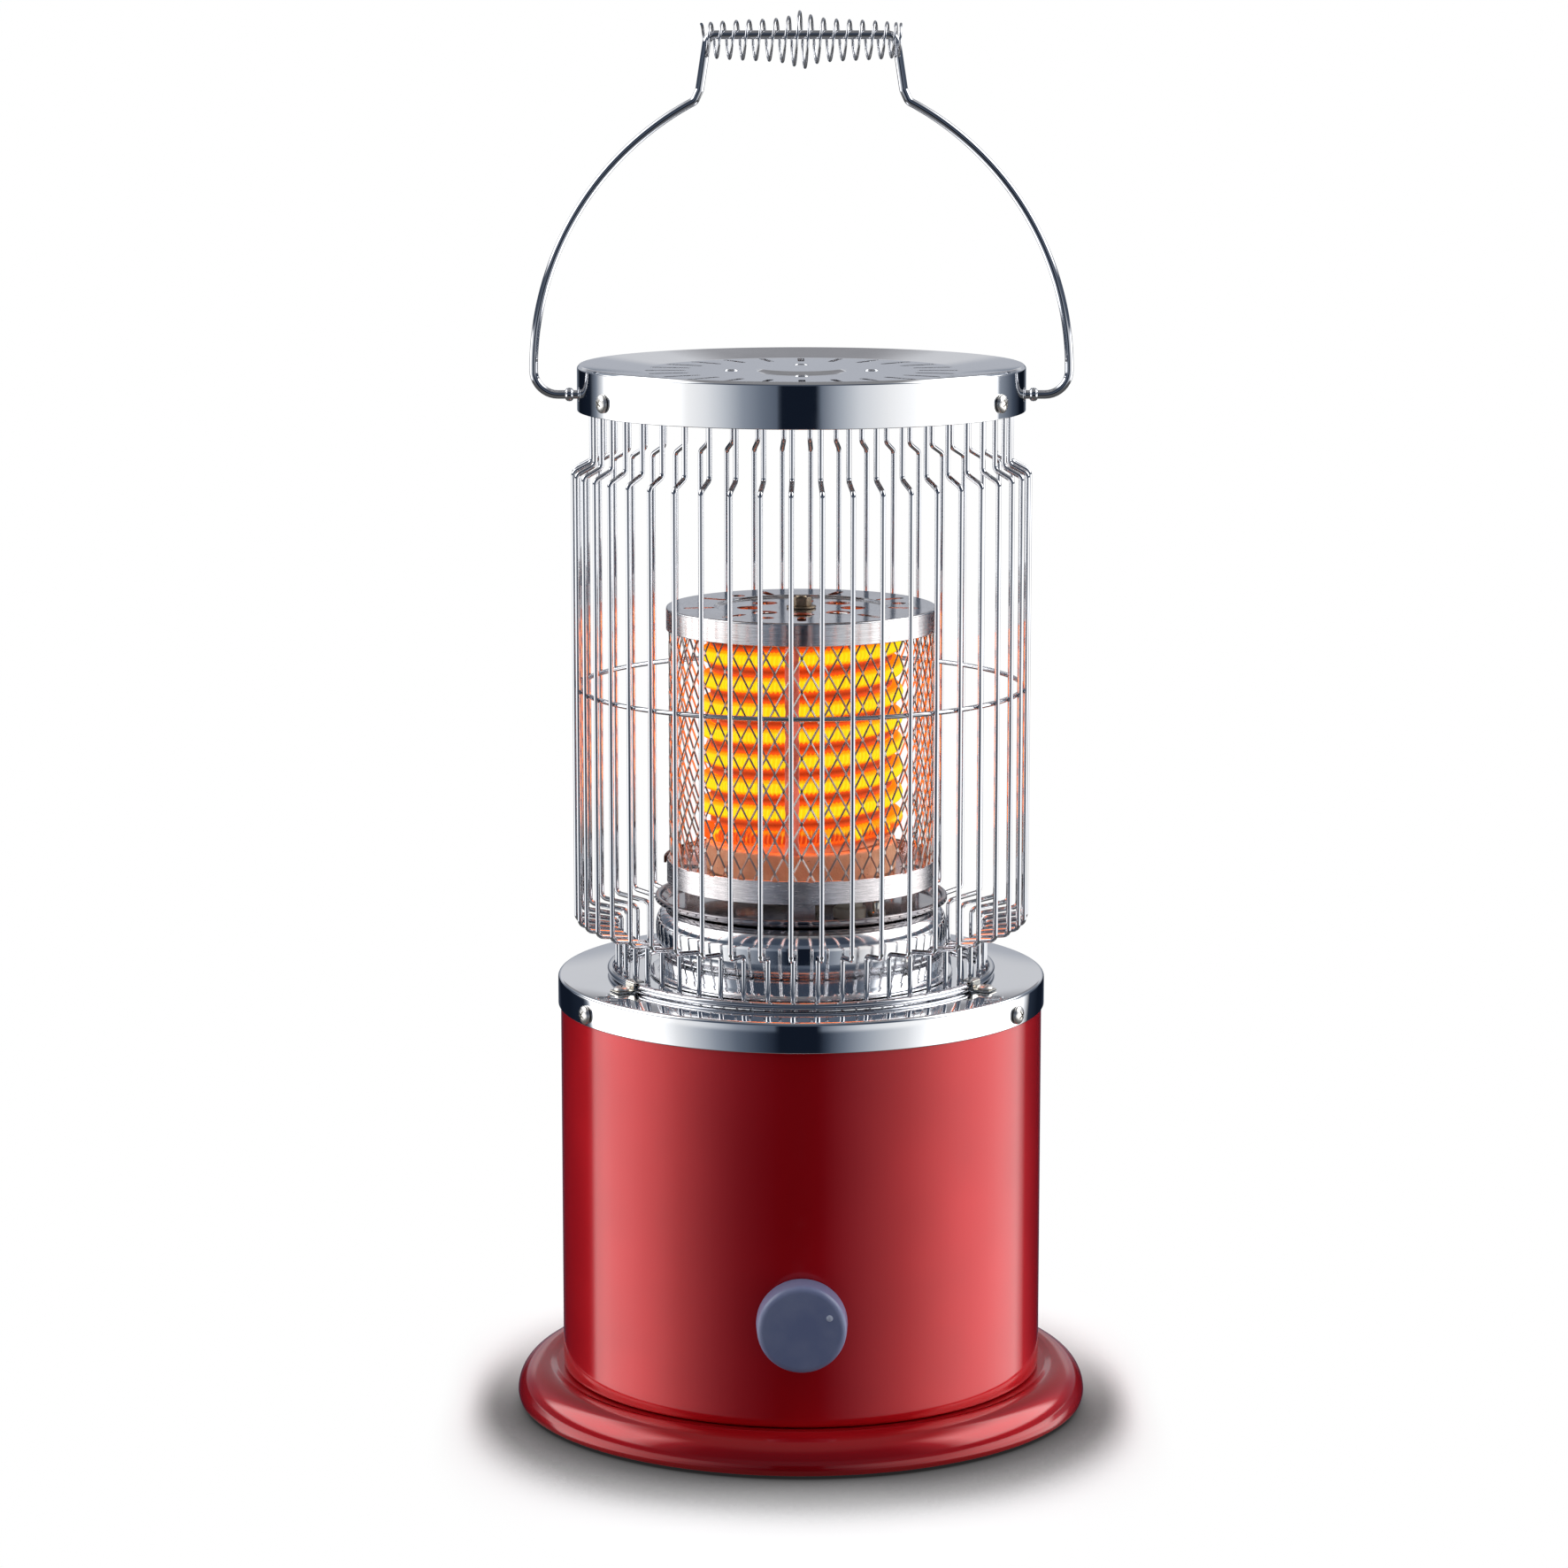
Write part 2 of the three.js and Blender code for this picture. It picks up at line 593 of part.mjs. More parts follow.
// Legs that carry the tray over the pan, bent from strap
function legGeometry() {
  const { thickness, height, tab, width } = leg;
  const outline = new THREE.Shape([
    new THREE.Vector2(0, 0), new THREE.Vector2(tab, 0), new THREE.Vector2(tab, height),
    new THREE.Vector2(0, height), new THREE.Vector2(0, height - thickness),
    new THREE.Vector2(tab - thickness, height - thickness), new THREE.Vector2(tab - thickness, thickness),
    new THREE.Vector2(0, thickness),
  ]);
  const geometry = new THREE.ExtrudeGeometry(outline, { depth: width, bevelEnabled: false, steps: 1 });
  return geometry.translate(0, 0, -width / 2).rotateX(Math.PI / 2);
}

spokes(leg.count, 0, (azimuth, i) => {
  const piece = add(`core_leg_${i + 1}`, legGeometry(), steel);
  piece.position.copy(polar(legCircle, azimuth, legBottom));
  piece.rotation.z = radians(azimuth - 90);
});

// Tray under the ceramic
function trayGeometry() {
  const bottom = trayUnderside - tray.drop;
  const top = trayFloor + tray.rise;
  const outline = [
    [tieRod.radius + clearance, trayUnderside], [canInside, trayUnderside], [canInside, bottom],
    [canRadius, bottom], [canRadius, top], [canInside, top], [canInside, trayFloor],
    [tieRod.radius + clearance, trayFloor],
  ];
  const holes = spokes(tray.holeCount, 180 / tray.holeCount, (azimuth) => (
    holeAt(trayHoleCircle, azimuth, tray.holeRadius, trayFloor, eyeFaces)
  ));
  return cut(revolve(outline, mediumFaces), holes);
}

// Helix of the coil, by azimuth in degrees
const coilPitch = (ceramicTop - coreBottom - coil.firstRow - coil.lastRowDrop) / (coil.rows - 1);
const coilHeightAt = (azimuth) => coreBottom + coil.firstRow + (coilPitch * azimuth) / 360;
const lastAzimuth = 360 * (coil.rows - 1) + coil.endAzimuth;

function helix(circle, from, to, steps, heightAt) {
  const count = Math.round(((to - from) / 360) * steps);
  return Array.from({ length: count + 1 }, (_, i) => {
    const azimuth = from + ((to - from) * i) / count;
    return polar(circle, azimuth, heightAt(azimuth));
  });
}

function coilGeometry() {
  const path = helix(coilCircle, coil.startAzimuth, lastAzimuth, coil.steps, coilHeightAt);
  const straight = 2 * coil.tubeRadius;
  const beyond = (tip, inner) => tip.clone().addScaledVector(tip.clone().sub(inner).normalize(), straight);
  const whole = [beyond(path[0], path[1]), ...path, beyond(path.at(-1), path.at(-2))];
  const least = leastGap(whole, coil.tubeRadius, coil.steps);
  console.log(`heating coil: least gap to itself ${least.toFixed(2)} mm`);
  return sweep(whole, coil.tubeRadius, coil.sides);
}

// The ceramic's outer wall is one thread: a groove under the coil and a ridge between its rows.
// It runs one step past the coil's end. Plain rings of corners close it below, inside and above
function ceramicGeometry() {
  const collar = coreBottom + ceramic.collarHeight;
  const { steps } = coil;
  const last = Math.round(((lastAzimuth - coil.startAzimuth) / 360) * steps) + 1;
  const azimuthAt = (i) => coil.startAzimuth + (360 * i) / steps;
  const thread = Array.from({ length: last + 1 }, (_, i) => {
    const height = coilHeightAt(azimuthAt(i));
    return [
      polar(grooveRadius, azimuthAt(i), height), polar(ridgeRadius, azimuthAt(i), height + coilPitch / 2),
    ];
  }).flat();
  const plain = [
    [ridgeRadius, ceramicTop], [ceramic.bore, ceramicTop], [ceramic.bore, coreBottom],
    [collarRadius, coreBottom],
    [collarRadius, collar], [grooveRadius, collar],
  ];
  const rings = plain.flatMap(([radius, height]) => spokes(steps, coil.startAzimuth, (azimuth) => (
    polar(radius, azimuth, height)
  )));
  const groove = (i) => 2 * i;
  const ridge = (i) => 2 * i + 1;
  const onRing = (level, i) => thread.length + level * steps + (i % steps);
  const faces = [];
  const strip = (low, high, from, to) => {
    for (let i = from; i < to; i += 1) {
      faces.push(low(i), low(i + 1), high(i), low(i + 1), high(i + 1), high(i));
    }
  };
  const level = (index) => (i) => onRing(index, i);
  const [rim, shoulder] = [level(0), level(plain.length - 1)];
  strip(groove, ridge, 0, last);
  strip(ridge, (i) => groove(i + steps), 0, last - steps);
  strip(ridge, rim, last - steps, last);
  strip(shoulder, groove, 0, steps);
  for (let index = 1; index < plain.length; index += 1) strip(level(index - 1), level(index), 0, steps);
  faces.push(shoulder(0), groove(0), ridge(0), shoulder(0), ridge(0), groove(steps));
  faces.push(ridge(last - steps), rim(last), ridge(last), ridge(last - steps), ridge(last), groove(last));
  const geometry = new THREE.BufferGeometry().setFromPoints([...thread, ...rings]);
  geometry.setIndex(faces);
  return geometry;
}

function retainerGeometry() {
  const { width, thickness } = retainer;
  const inner = coilCircle + coil.tubeRadius + clearance;
  const bottom = coreBottom + ceramic.collarHeight + clearance;
  const height = ceramicTop - retainer.topDrop - bottom;
  const centre = vector(0, -inner - thickness / 2, bottom + height / 2);
  return bar(width, thickness, height, centre).rotateZ(radians(retainer.azimuth));
}

// Expanded mesh: a thin can of strands round staggered diamond openings. Each opening has its
// left, bottom, right and top corner on both faces of the sheet
function meshGeometry() {
  const { around, rows } = mesh;
  const [low, high] = [coreBottom + mesh.band, meshTop - mesh.topBand];
  const column = 360 / around;
  const rise = (high - low) / (rows + 1);
  const halfStrand = (mesh.strand / 2 / mesh.radius) * (180 / Math.PI);
  const halfWidth = column / 2 - halfStrand;
  const halfHeight = rise * (halfWidth / (column / 2));
  const turnShares = [-1, 0, 1, 0];
  const riseShares = [0, -1, 0, 1];
  const [left, bottom, right, top] = [0, 1, 2, 3];
  const faceSize = 4 * around * rows + 4 * around;
  const corners = [meshInside, mesh.radius].flatMap((radius) => {
    const openings = Array.from({ length: around * rows * 4 }, (_, i) => {
      const [row, place] = [Math.floor(i / (4 * around)), Math.floor(i / 4) % around];
      const azimuth = column * (place + (row % 2) / 2) + turnShares[i % 4] * halfWidth;
      return polar(radius, azimuth, low + rise * (row + 1) + riseShares[i % 4] * halfHeight);
    });
    const rims = [coreBottom, meshTop].flatMap((height) => (
      spokes(2 * around, 0, (azimuth) => polar(radius, azimuth, height))
    ));
    return [...openings, ...rims];
  });
  const at = (row, place, corner) => 4 * (row * around + ((place + around) % around)) + corner;
  const rim = (level, step) => 4 * around * rows + level * 2 * around + ((step + 2 * around) % (2 * around));
  const outer = [];
  const fan = (...loop) => {
    for (let k = 1; k < loop.length - 1; k += 1) outer.push([loop[0], loop[k], loop[k + 1]]);
  };
  for (let place = 0; place < around; place += 1) {
    for (let row = 0; row < rows; row += 1) {
      const above = place + (row % 2);
      const [first, last] = [row === 0, row === rows - 1];
      const lower = first ? [] : [at(row - 1, above, top)];
      const upper = last ? [] : [at(row + 1, above, bottom)];
      if (!first && !last) fan(at(row, place, right), ...lower, at(row, place + 1, left), ...upper);
      if (!last) {
        const foot = at(row + 1, above, bottom);
        fan(at(row, place, right), foot, at(row + 1, above, left), at(row, place, top));
        fan(foot, at(row, place + 1, left), at(row, place + 1, top), at(row + 1, above, right));
      }
    }
    const steps = [2 * place, 2 * place + 1, 2 * place + 2];
    const shift = (rows - 1) % 2;
    const [b0, b1] = [at(0, place, bottom), at(0, place + 1, bottom)];
    const [r0, l1, node] = [at(0, place, right), at(0, place + 1, left), at(1, place, bottom)];
    const [s0, s1, s2] = steps.map((step) => rim(0, step));
    outer.push([b0, s0, s1], [b0, s1, r0], [r0, s1, l1], [l1, s1, b1], [b1, s1, s2], [r0, l1, node]);
    const [t0, t1] = [at(rows - 1, place, top), at(rows - 1, place + 1, top)];
    const [p0, q1, under] = [
      at(rows - 1, place, right), at(rows - 1, place + 1, left), at(rows - 2, place + shift, top),
    ];
    const [u0, u1, u2] = steps.map((step) => rim(1, step + shift));
    outer.push([u0, t0, u1], [u1, t0, p0], [u1, p0, q1], [u1, q1, t1], [u2, u1, t1], [p0, under, q1]);
  }
  const faces = outer.flatMap(([a, b, c]) => [[a + faceSize, b + faceSize, c + faceSize], [a, c, b]]);
  const wall = (a, b) => faces.push([a, a + faceSize, b], [b, a + faceSize, b + faceSize]);
  for (let opening = 0; opening < around * rows; opening += 1) {
    for (let k = 0; k < 4; k += 1) wall(4 * opening + k, 4 * opening + ((k + 1) % 4));
  }
  for (let step = 0; step < 2 * around; step += 1) {
    wall(rim(0, step + 1), rim(0, step));
    wall(rim(1, step), rim(1, step + 1));
  }
  const geometry = new THREE.BufferGeometry().setFromPoints(corners);
  geometry.setIndex(faces.flat());
  return geometry;
}

function topPlateGeometry() {
  const skirtEnd = coreTop - topPlate.skirt;
  const [low, slope] = [coreTop - topPlate.recess, topPlate.recess];
  const rodHole = tieRod.radius + clearance;
  const outline = [
    [rodHole, low - fineSheet], [recessRadius, low - fineSheet], [recessRadius + slope, coreTop - fineSheet],
    [canInside, coreTop - fineSheet], [canInside, skirtEnd], [canRadius, skirtEnd], [canRadius, coreTop],
    [recessRadius + slope, coreTop], [recessRadius, low], [rodHole, low],
  ];
  const slotCircle = canRadius - topPlate.slotInset;
  const eyeCircle = canRadius - topPlate.eyeInset;
  const slots = spokes(topPlate.slotCount, 0, (azimuth) => (
    radialSlot(slotCircle, azimuth, topPlate.slotLength, topPlate.slotWidth, coreTop)
  ));
  const holes = spokes(topPlate.holeCount, 0, (azimuth) => (
    holeAt(topPlate.holeCircle, azimuth, topPlate.holeRadius, low)
  ));
  const eyes = spokes(topPlate.eyeCount, topPlate.eyeAzimuth, (azimuth) => (
    holeAt(eyeCircle, azimuth, topPlate.eyeRadius, coreTop, eyeFaces)
  ));
  return cut(revolve(outline, mediumFaces), [...slots, ...holes, ...eyes]);
}

const rodBottom = panUnderside - clearance;
const nutSeat = coreTop - topPlate.recess + clearance;

function tieRodGeometry() {
  const top = nutSeat + fineSheet + tieRod.nutHeight + tieRod.tip;
  return revolve([
    [0, rodBottom - tieRod.headHeight], [tieRod.head, rodBottom - tieRod.headHeight],
    [tieRod.head, rodBottom], [tieRod.radius, rodBottom], [tieRod.radius, top], [0, top],
  ], smallFaces);
}

function nutGeometry() {
  const top = nutSeat + fineSheet + tieRod.nutHeight;
  const hole = bore(tieRod.radius + clearance, vector(0, 0, nutSeat - overrun), vector(0, 0, top + overrun));
  const washer = rod(tieRod.washer, vector(0, 0, nutSeat), vector(0, 0, nutSeat + fineSheet), smallFaces);
  const nut = hexagon(tieRod.nutRadius, nutSeat + fineSheet / 2, top);
  return cut(join([washer, nut]), [hole]);
}

add('core_tray', trayGeometry(), steel);
add('ceramic_core', ceramicGeometry(), stoneware);
add('heating_coil', coilGeometry(), glow);
add('coil_retainer', retainerGeometry(), stoneware);
add('mesh_screen', meshGeometry(), steel);
add('core_top_plate', topPlateGeometry(), steel);
add('core_tie_rod', tieRodGeometry(), nickel);
add('core_nut', nutGeometry(), nickel);

// Porcelain stand-offs and terminal studs on the pan
function insulatorGeometry() {
  const { radius, waist, rim } = insulator;
  const { height } = leg;
  return revolve([
    [insulator.bore, 0], [radius, 0], [radius, rim], [waist, rim + fineSheet],
    [waist, height - rim - fineSheet], [radius, height - rim], [radius, height], [insulator.bore, height],
  ], smallFaces);
}

function terminalGeometry() {
  const stud = rod(terminal.stud, vector(0, 0, 0), vector(0, 0, terminal.height));
  return join([stud, hexagon(terminal.nutRadius, 0, terminal.headHeight)]);
}

// Each stud stands beside its stand-off, turned a little further round the pan
const studReach = insulator.radius + terminal.nutRadius + terminal.gap;

pair(insulator.azimuth).forEach((azimuth, i) => {
  const standOff = add(`insulator_${i + 1}`, insulatorGeometry(), porcelain);
  standOff.position.copy(polar(insulatorCircle, azimuth, legBottom));
  const stud = add(`terminal_stud_${i + 1}`, terminalGeometry(), nickel);
  stud.position.copy(standOff.position).addScaledVector(outward(azimuth + terminal.turn), studReach);
});

// Guard: bent wires welded to two rings; the thin ones are square with a round wire's area
function guardWire(azimuth) {
  const bottom = ringHeight - guard.wireEnd;
  return sweep([
    polar(footCircle, azimuth, bottom), polar(footCircle, azimuth, lowBend),
    polar(guardCircle, azimuth, lowCorner), polar(guardCircle, azimuth, highCorner),
    polar(topCircle, azimuth, highBend), polar(topCircle, azimuth, wireTop),
  ], squareRadius, wireFaces);
}

function guardGeometry() {
  const wires = spokes(guard.wires, guard.firstAzimuth, guardWire);
  const rings = [
    ring(footRing, ringHeight, footRingCorner, guard.wires / 2, wireFaces),
    ring(middleRing, lowCorner + guard.midRing, squareRadius, guard.wires / 2, wireFaces),
  ].map((piece) => piece.rotateZ(radians(guard.firstAzimuth)));
  return toGeometry(wasm.Manifold.union([...wires, ...rings].map(toSolid)));
}

function clipGeometry() {
  const low = coverTop + clearance;
  const high = ringHeight + guard.ringRadius + clearance;
  const { thickness } = clip;
  const toe = clipFace + thickness + clip.foot;
  const outline = new THREE.Shape([
    [clipFace, low], [toe, low], [toe, low + thickness], [clipFace + thickness, low + thickness],
    [clipFace + thickness, high + thickness], [clipFace - clip.hook, high + thickness],
    [clipFace - clip.hook, high], [clipFace, high],
  ].map(([radius, height]) => new THREE.Vector2(radius, height)));
  const strip = new THREE.ExtrudeGeometry(outline, { depth: clip.width, bevelEnabled: false, steps: 1 });
  strip.translate(0, 0, -clip.width / 2).rotateX(Math.PI / 2).rotateZ(-Math.PI / 2);
  return cut(strip, [holeAt(clipScrewCircle, 0, clipScrew.shankRadius + clearance, low + thickness)]);
}

add('guard_cage', guardGeometry(), chrome);
spokes(clip.count, clipAzimuth, (azimuth, i) => {
  add(`guard_clip_${i + 1}`, clipGeometry(), nickel).rotation.z = radians(azimuth);
  const piece = add(`clip_screw_${i + 1}`, screwGeometry(clipScrew), nickel);
  piece.position.copy(polar(clipScrewCircle, azimuth, coverTop + clip.thickness + 2 * clearance));
});

// Cap, the ring behind its skirt and the screws through both
const capScrewHeight = capBottom + capScrew.rise;

function capScrewHoles() {
  return spokes(capScrew.count, capScrew.firstAzimuth, (azimuth) => bore(
    screw.shankRadius + clearance,
    polar(seatRadius - sheet - overrun, azimuth, capScrewHeight),
    polar(capRadius + overrun, azimuth, capScrewHeight),
  ));
}

function pivotHole() {
  const reach = capRadius + overrun;
  return bore(bail.wireRadius + clearance, vector(-reach, 0, pivotHeight), vector(reach, 0, pivotHeight));
}

function seatRingGeometry() {
  const inside = seatRadius - sheet;
  const outline = [
    [shelfInside, shelfBottom], [inside, shelfBottom], [inside, seatBottom], [seatRadius, seatBottom],
    [seatRadius, seatTop], [shelfInside, seatTop],
  ];
  return cut(revolve(outline, largeFaces), [...capScrewHoles(), pivotHole()]);
}

function capGeometry() {
  const disc = capEdge - cap.dish;
  const boss = disc + cap.bossRise;
  const slopeEnd = cap.bossRadius + cap.bossSlope;
  const outline = [
    [0, boss], [cap.bossRadius, boss], [slopeEnd, disc], [cap.discRadius, disc], [capFlat, capEdge],
    [capRadius, capEdge - cap.bevel], [capRadius, capBottom], [capInside, capBottom],
    [capInside, capEdge - sheet], [cap.discRadius, disc - sheet], [0, disc - sheet],
  ];
  const slots = spokes(cap.slotCount, 0, (azimuth) => (
    radialSlot(cap.slotCircle, azimuth, cap.slotLength, cap.slotWidth, disc)
  ));
  const eyes = spokes(cap.eyeCount, 0, (azimuth) => (
    holeAt(cap.eyeCircle, azimuth, cap.eyeRadius, disc, eyeFaces)
  ));
  return cut(revolve(outline, largeFaces), [...slots, ...eyes, ...capScrewHoles(), pivotHole()]);
}

add('cap_seat_ring', seatRingGeometry(), steel);
add('top_cap', capGeometry(), chrome);
spokes(capScrew.count, capScrew.firstAzimuth, (azimuth, i) => {
  const piece = add(`cap_screw_${i + 1}`, screwGeometry({ ...screw, length: capScrew.length }), nickel);
  seat(piece, polar(capRadius + clearance, azimuth, capScrewHeight), outward(azimuth));
});

// Bail: half of its path, from the tail inside the skirt to the middle of the grip, as points
// across and up from the pivot, each with the wire's radius there
function bailHalf() {
  const { wireRadius: thin, ramp } = bail;
  const inner = seatRadius - sheet - clearance - clearance;
  const headStart = inner - bail.headLength;
  const swage = capRadius + bail.swageGap;
  const bendX = capRadius + bail.reach;
  const stub = [
    [headStart - ramp - bail.tail, thin], [headStart - ramp, thin], [headStart, bail.headRadius],
    [inner - ramp, bail.headRadius], [inner, thin], [swage, thin], [swage + ramp, bail.swageRadius],
    [swage + bail.swageLength, bail.swageRadius], [swage + bail.swageLength + ramp, thin],
  ].map(([x, radius]) => [x, 0, radius]);
  const low = Array.from({ length: bail.lowSteps + 1 }, (_, i) => {
    const turn = (Math.PI / 2) * (i / bail.lowSteps);
    return [bendX + bail.lowBend * Math.sin(turn), bail.lowBend * (1 - Math.cos(turn)), thin];
  });
  const centreX = bendX + bail.lowBend - bail.armRadius;
  const arm = Array.from({ length: bail.armSteps }, (_, i) => {
    const turn = radians((bail.armAngle * (i + 1)) / bail.armSteps);
    return [centreX + bail.armRadius * Math.cos(turn), bail.lowBend + bail.armRadius * Math.sin(turn), thin];
  });
  const [endX, endZ] = arm.at(-1);
  const neckX = endX - bail.shoulderStep;
  const neckZ = endZ + bail.shoulderRise;
  const gripZ = neckZ + bail.neckRise + bail.cornerRadius;
  const topX = neckX - bail.neckLean;
  const corner = Array.from({ length: bail.cornerSteps + 1 }, (_, i) => {
    const turn = (Math.PI / 2) * (i / bail.cornerSteps);
    const [out, up] = [bail.cornerRadius * Math.cos(turn), bail.cornerRadius * Math.sin(turn)];
    return [topX - bail.cornerRadius + out, gripZ - bail.cornerRadius + up, thin];
  });
  return { points: [...stub, ...low, ...arm, [neckX, neckZ, thin], ...corner], neckX, neckZ, topX, gripZ };
}

const half = bailHalf();

function bailGeometry() {
  const whole = [...half.points.map(([x, z, r]) => [-x, z, r]), ...half.points.toReversed()];
  const path = whole.map(([x, z]) => vector(x, 0, pivotHeight + z));
  return sweep(path, whole.map(([, , radius]) => radius), rodFaces);
}

// Coiled grip: its ends lie outside the bail's necks, the rest between them
function gripGeometry() {
  const axis = pivotHeight + half.gripZ - grip.drop;
  const level = half.gripZ - grip.drop - grip.endRadius;
  const climb = (level - half.neckZ) / (half.gripZ - bail.cornerRadius - half.neckZ);
  const neckAt = half.neckX - bail.neckLean * climb;
  const passing = bail.wireRadius + clearance + grip.wireRadius;
  const [inside, outside] = [neckAt - passing, neckAt + passing];
  const across = (turn) => {
    if (turn < 1) return -outside + (outside - inside) * turn;
    if (turn > grip.turns - 1) return inside + (outside - inside) * (turn - grip.turns + 1);
    return -inside + (2 * inside * (turn - 1)) / (grip.turns - 2);
  };
  const count = grip.turns * grip.steps;
  const path = Array.from({ length: count + 1 }, (_, i) => {
    const turn = i / grip.steps;
    const x = across(turn);
    const share = Math.abs(x) / outside;
    const body = grip.swell * (1 - share ** 3);
    const radius = grip.endRadius + body + grip.peak * Math.exp(-Math.abs(x) / grip.peakWidth);
    const angle = 2 * Math.PI * turn - Math.PI / 2;
    return vector(x, -radius * Math.cos(angle), axis + radius * Math.sin(angle));
  });
  const straight = 2 * grip.wireRadius;
  const along = (a, b) => vector(0, Math.sign(b.y - a.y), 0);
  const start = path[0].clone().addScaledVector(along(path[1], path[0]), straight);
  const end = path.at(-1).clone().addScaledVector(along(path.at(-2), path.at(-1)), straight);
  const whole = [start, ...path, end];
  const least = leastGap(whole, grip.wireRadius, grip.steps);
  console.log(`grip spring: least gap to itself ${least.toFixed(2)} mm`);
  return sweep(whole, grip.wireRadius, springFaces);
}

add('bail_wire', bailGeometry(), chrome);
add('grip_spring', gripGeometry(), chrome);

// Knob, shaft and rotary switch, made along +Z and laid towards the front
const knobBack = drumRadius + knob.gap;
const knobFront = knobBack + knob.depth;
const forward = vector(0, -1, 0);
const axisPoint = vector(0, 0, knob.height);

function knobGeometry() {
  const { backRadius, frontRadius, fillet, wall, hub, hubInset } = knob;
  const bore = shaft.radius + clearance;
  const cavityTop = knobFront - wall;
  const hubBottom = knobBack + hubInset;
  const side = frontRadius + (backRadius - frontRadius) * (fillet / knob.depth);
  const outline = [
    [0, hubBottom + knob.boreDepth], [bore, hubBottom + knob.boreDepth], [bore, hubBottom], [hub, hubBottom],
    [hub, cavityTop], [backRadius - wall, cavityTop], [backRadius - wall, knobBack], [backRadius, knobBack],
    [side, knobFront - fillet], [side - fillet * knob.cornerShare, knobFront - fillet * knob.cornerShare],
    [side - fillet, knobFront], [0, knobFront],
  ];
  const dotX = knob.dotCircle * Math.sin(radians(knob.dotAzimuth));
  const dotY = knob.dotCircle * Math.cos(radians(knob.dotAzimuth));
  const dotFrom = vector(dotX, dotY, knobFront - knob.dotRise);
  const dot = rod(knob.dotRadius, dotFrom, dotFrom.clone().setZ(knobFront + knob.dotRise));
  return join([revolve(outline, knob.faces), dot]);
}

function layForward(piece) {
  piece.position.copy(axisPoint);
  piece.rotation.x = Math.PI / 2;
  return piece;
}

const switchFront = drumInside - rotary.wallGap;
const switchBack = switchFront - rotary.depth;
const neckTip = drumRadius + rotary.neckLength;

function rotaryGeometry() {
  const middle = vector(0, 0, (switchFront + switchBack) / 2);
  const body = bar(rotary.width, rotary.height, rotary.depth, middle);
  const neck = rod(rotary.neckRadius, vector(0, 0, switchFront - overrun), vector(0, 0, neckTip));
  const tabs = spokes(rotary.tabCount, 0, (azimuth) => {
    const place = polar(rotary.tabPlace, azimuth, switchBack - rotary.tabLength / 2 + clearance);
    return bar(rotary.tabWidth, sheet, rotary.tabLength, place);
  });
  const tail = switchFront - shaft.tail - clearance;
  const hole = bore(shaft.radius + clearance, vector(0, 0, tail), vector(0, 0, neckTip + overrun));
  return cut(join([body, neck, ...tabs]), [hole]);
}

function switchNutGeometry() {
  const seatAt = drumRadius + clearance;
  const nut = hexagon(rotary.nutRadius, seatAt, seatAt + rotary.nutHeight);
  const [from, to] = [vector(0, 0, seatAt - overrun), vector(0, 0, neckTip + overrun)];
  return cut(nut, [bore(rotary.neckRadius + clearance, from, to)]);
}

function shaftGeometry() {
  const tip = knobBack + knob.hubInset + knob.boreDepth - clearance;
  return rod(shaft.radius, vector(0, 0, switchFront - shaft.tail), vector(0, 0, tip), smallFaces);
}

layForward(add('control_knob', knobGeometry(), plastic));
layForward(add('switch_shaft', shaftGeometry(), nickel));
layForward(add('switch_nut', switchNutGeometry(), nickel));
layForward(add('rotary_switch', rotaryGeometry(), darkPlastic));

// Terminal block on the bottom plate
function blockGeometry() {
  const bottom = plateTop + clearance;
  const body = bar(block.width, block.depth, block.height, vector(0, 0, bottom + block.height / 2));
  const bores = Array.from({ length: block.ways }, (_, i) => {
    const x = (block.width / block.ways) * (i + 0.5) - block.width / 2;
    const z = bottom + block.height / 2;
    return bore(block.boreRadius, vector(x, -block.depth, z), vector(x, block.depth, z));
  });
  return cut(body, bores);
}

add('terminal_block', blockGeometry(), porcelain).position.set(0, block.place, 0);

// How far a flat of the drum falls back, for each unit beside a corner
const wallFall = Math.tan(Math.PI / largeFaces);

// Gland for the mains lead, at the back, made along +Z and laid backward
function glandGeometry() {
  const face = drumRadius + clearance;
  const inner = drumInside - gland.barbRadius * wallFall - clearance;
  return revolve([
    [gland.bore, inner - gland.barbLength], [gland.neckRadius, inner - gland.barbLength],
    [gland.barbRadius, inner], [gland.neckRadius, inner], [gland.neckRadius, face],
    [gland.flangeRadius, face], [gland.flangeRadius, face + gland.flangeLength],
    [gland.noseRadius, face + gland.flangeLength], [gland.tipRadius, face + gland.noseLength],
    [gland.bore, face + gland.noseLength],
  ], holeFaces);
}

const glandPiece = add('cord_gland', glandGeometry(), rubber);
glandPiece.position.set(0, 0, gland.height);
glandPiece.rotation.x = -Math.PI / 2;

// Leads inside the drum, each one smooth curve
function leadGeometry(points) {
  const curve = new THREE.CatmullRomCurve3(points);
  return sweep(curve.getPoints(lead.steps), lead.radius, lead.sides);
}

const standOffAt = (index) => polar(insulatorCircle, pair(insulator.azimuth)[index], 0);

// Down from a stand-off on the pan, through the middle of the cover, to an end in the drum
function downLead(index, end) {
  const top = standOffAt(index);
  const waist = (coverTop + end.z) / 2;
  return leadGeometry([
    vector(top.x, top.y, panFloor + lead.rise), vector(top.x, top.y, panFloor - lead.rise),
    vector(top.x, top.y, coverTop), vector(end.x, (top.y + end.y) / 2, waist),
    end.clone().setZ(end.z + 2 * lead.rise), end,
  ]);
}

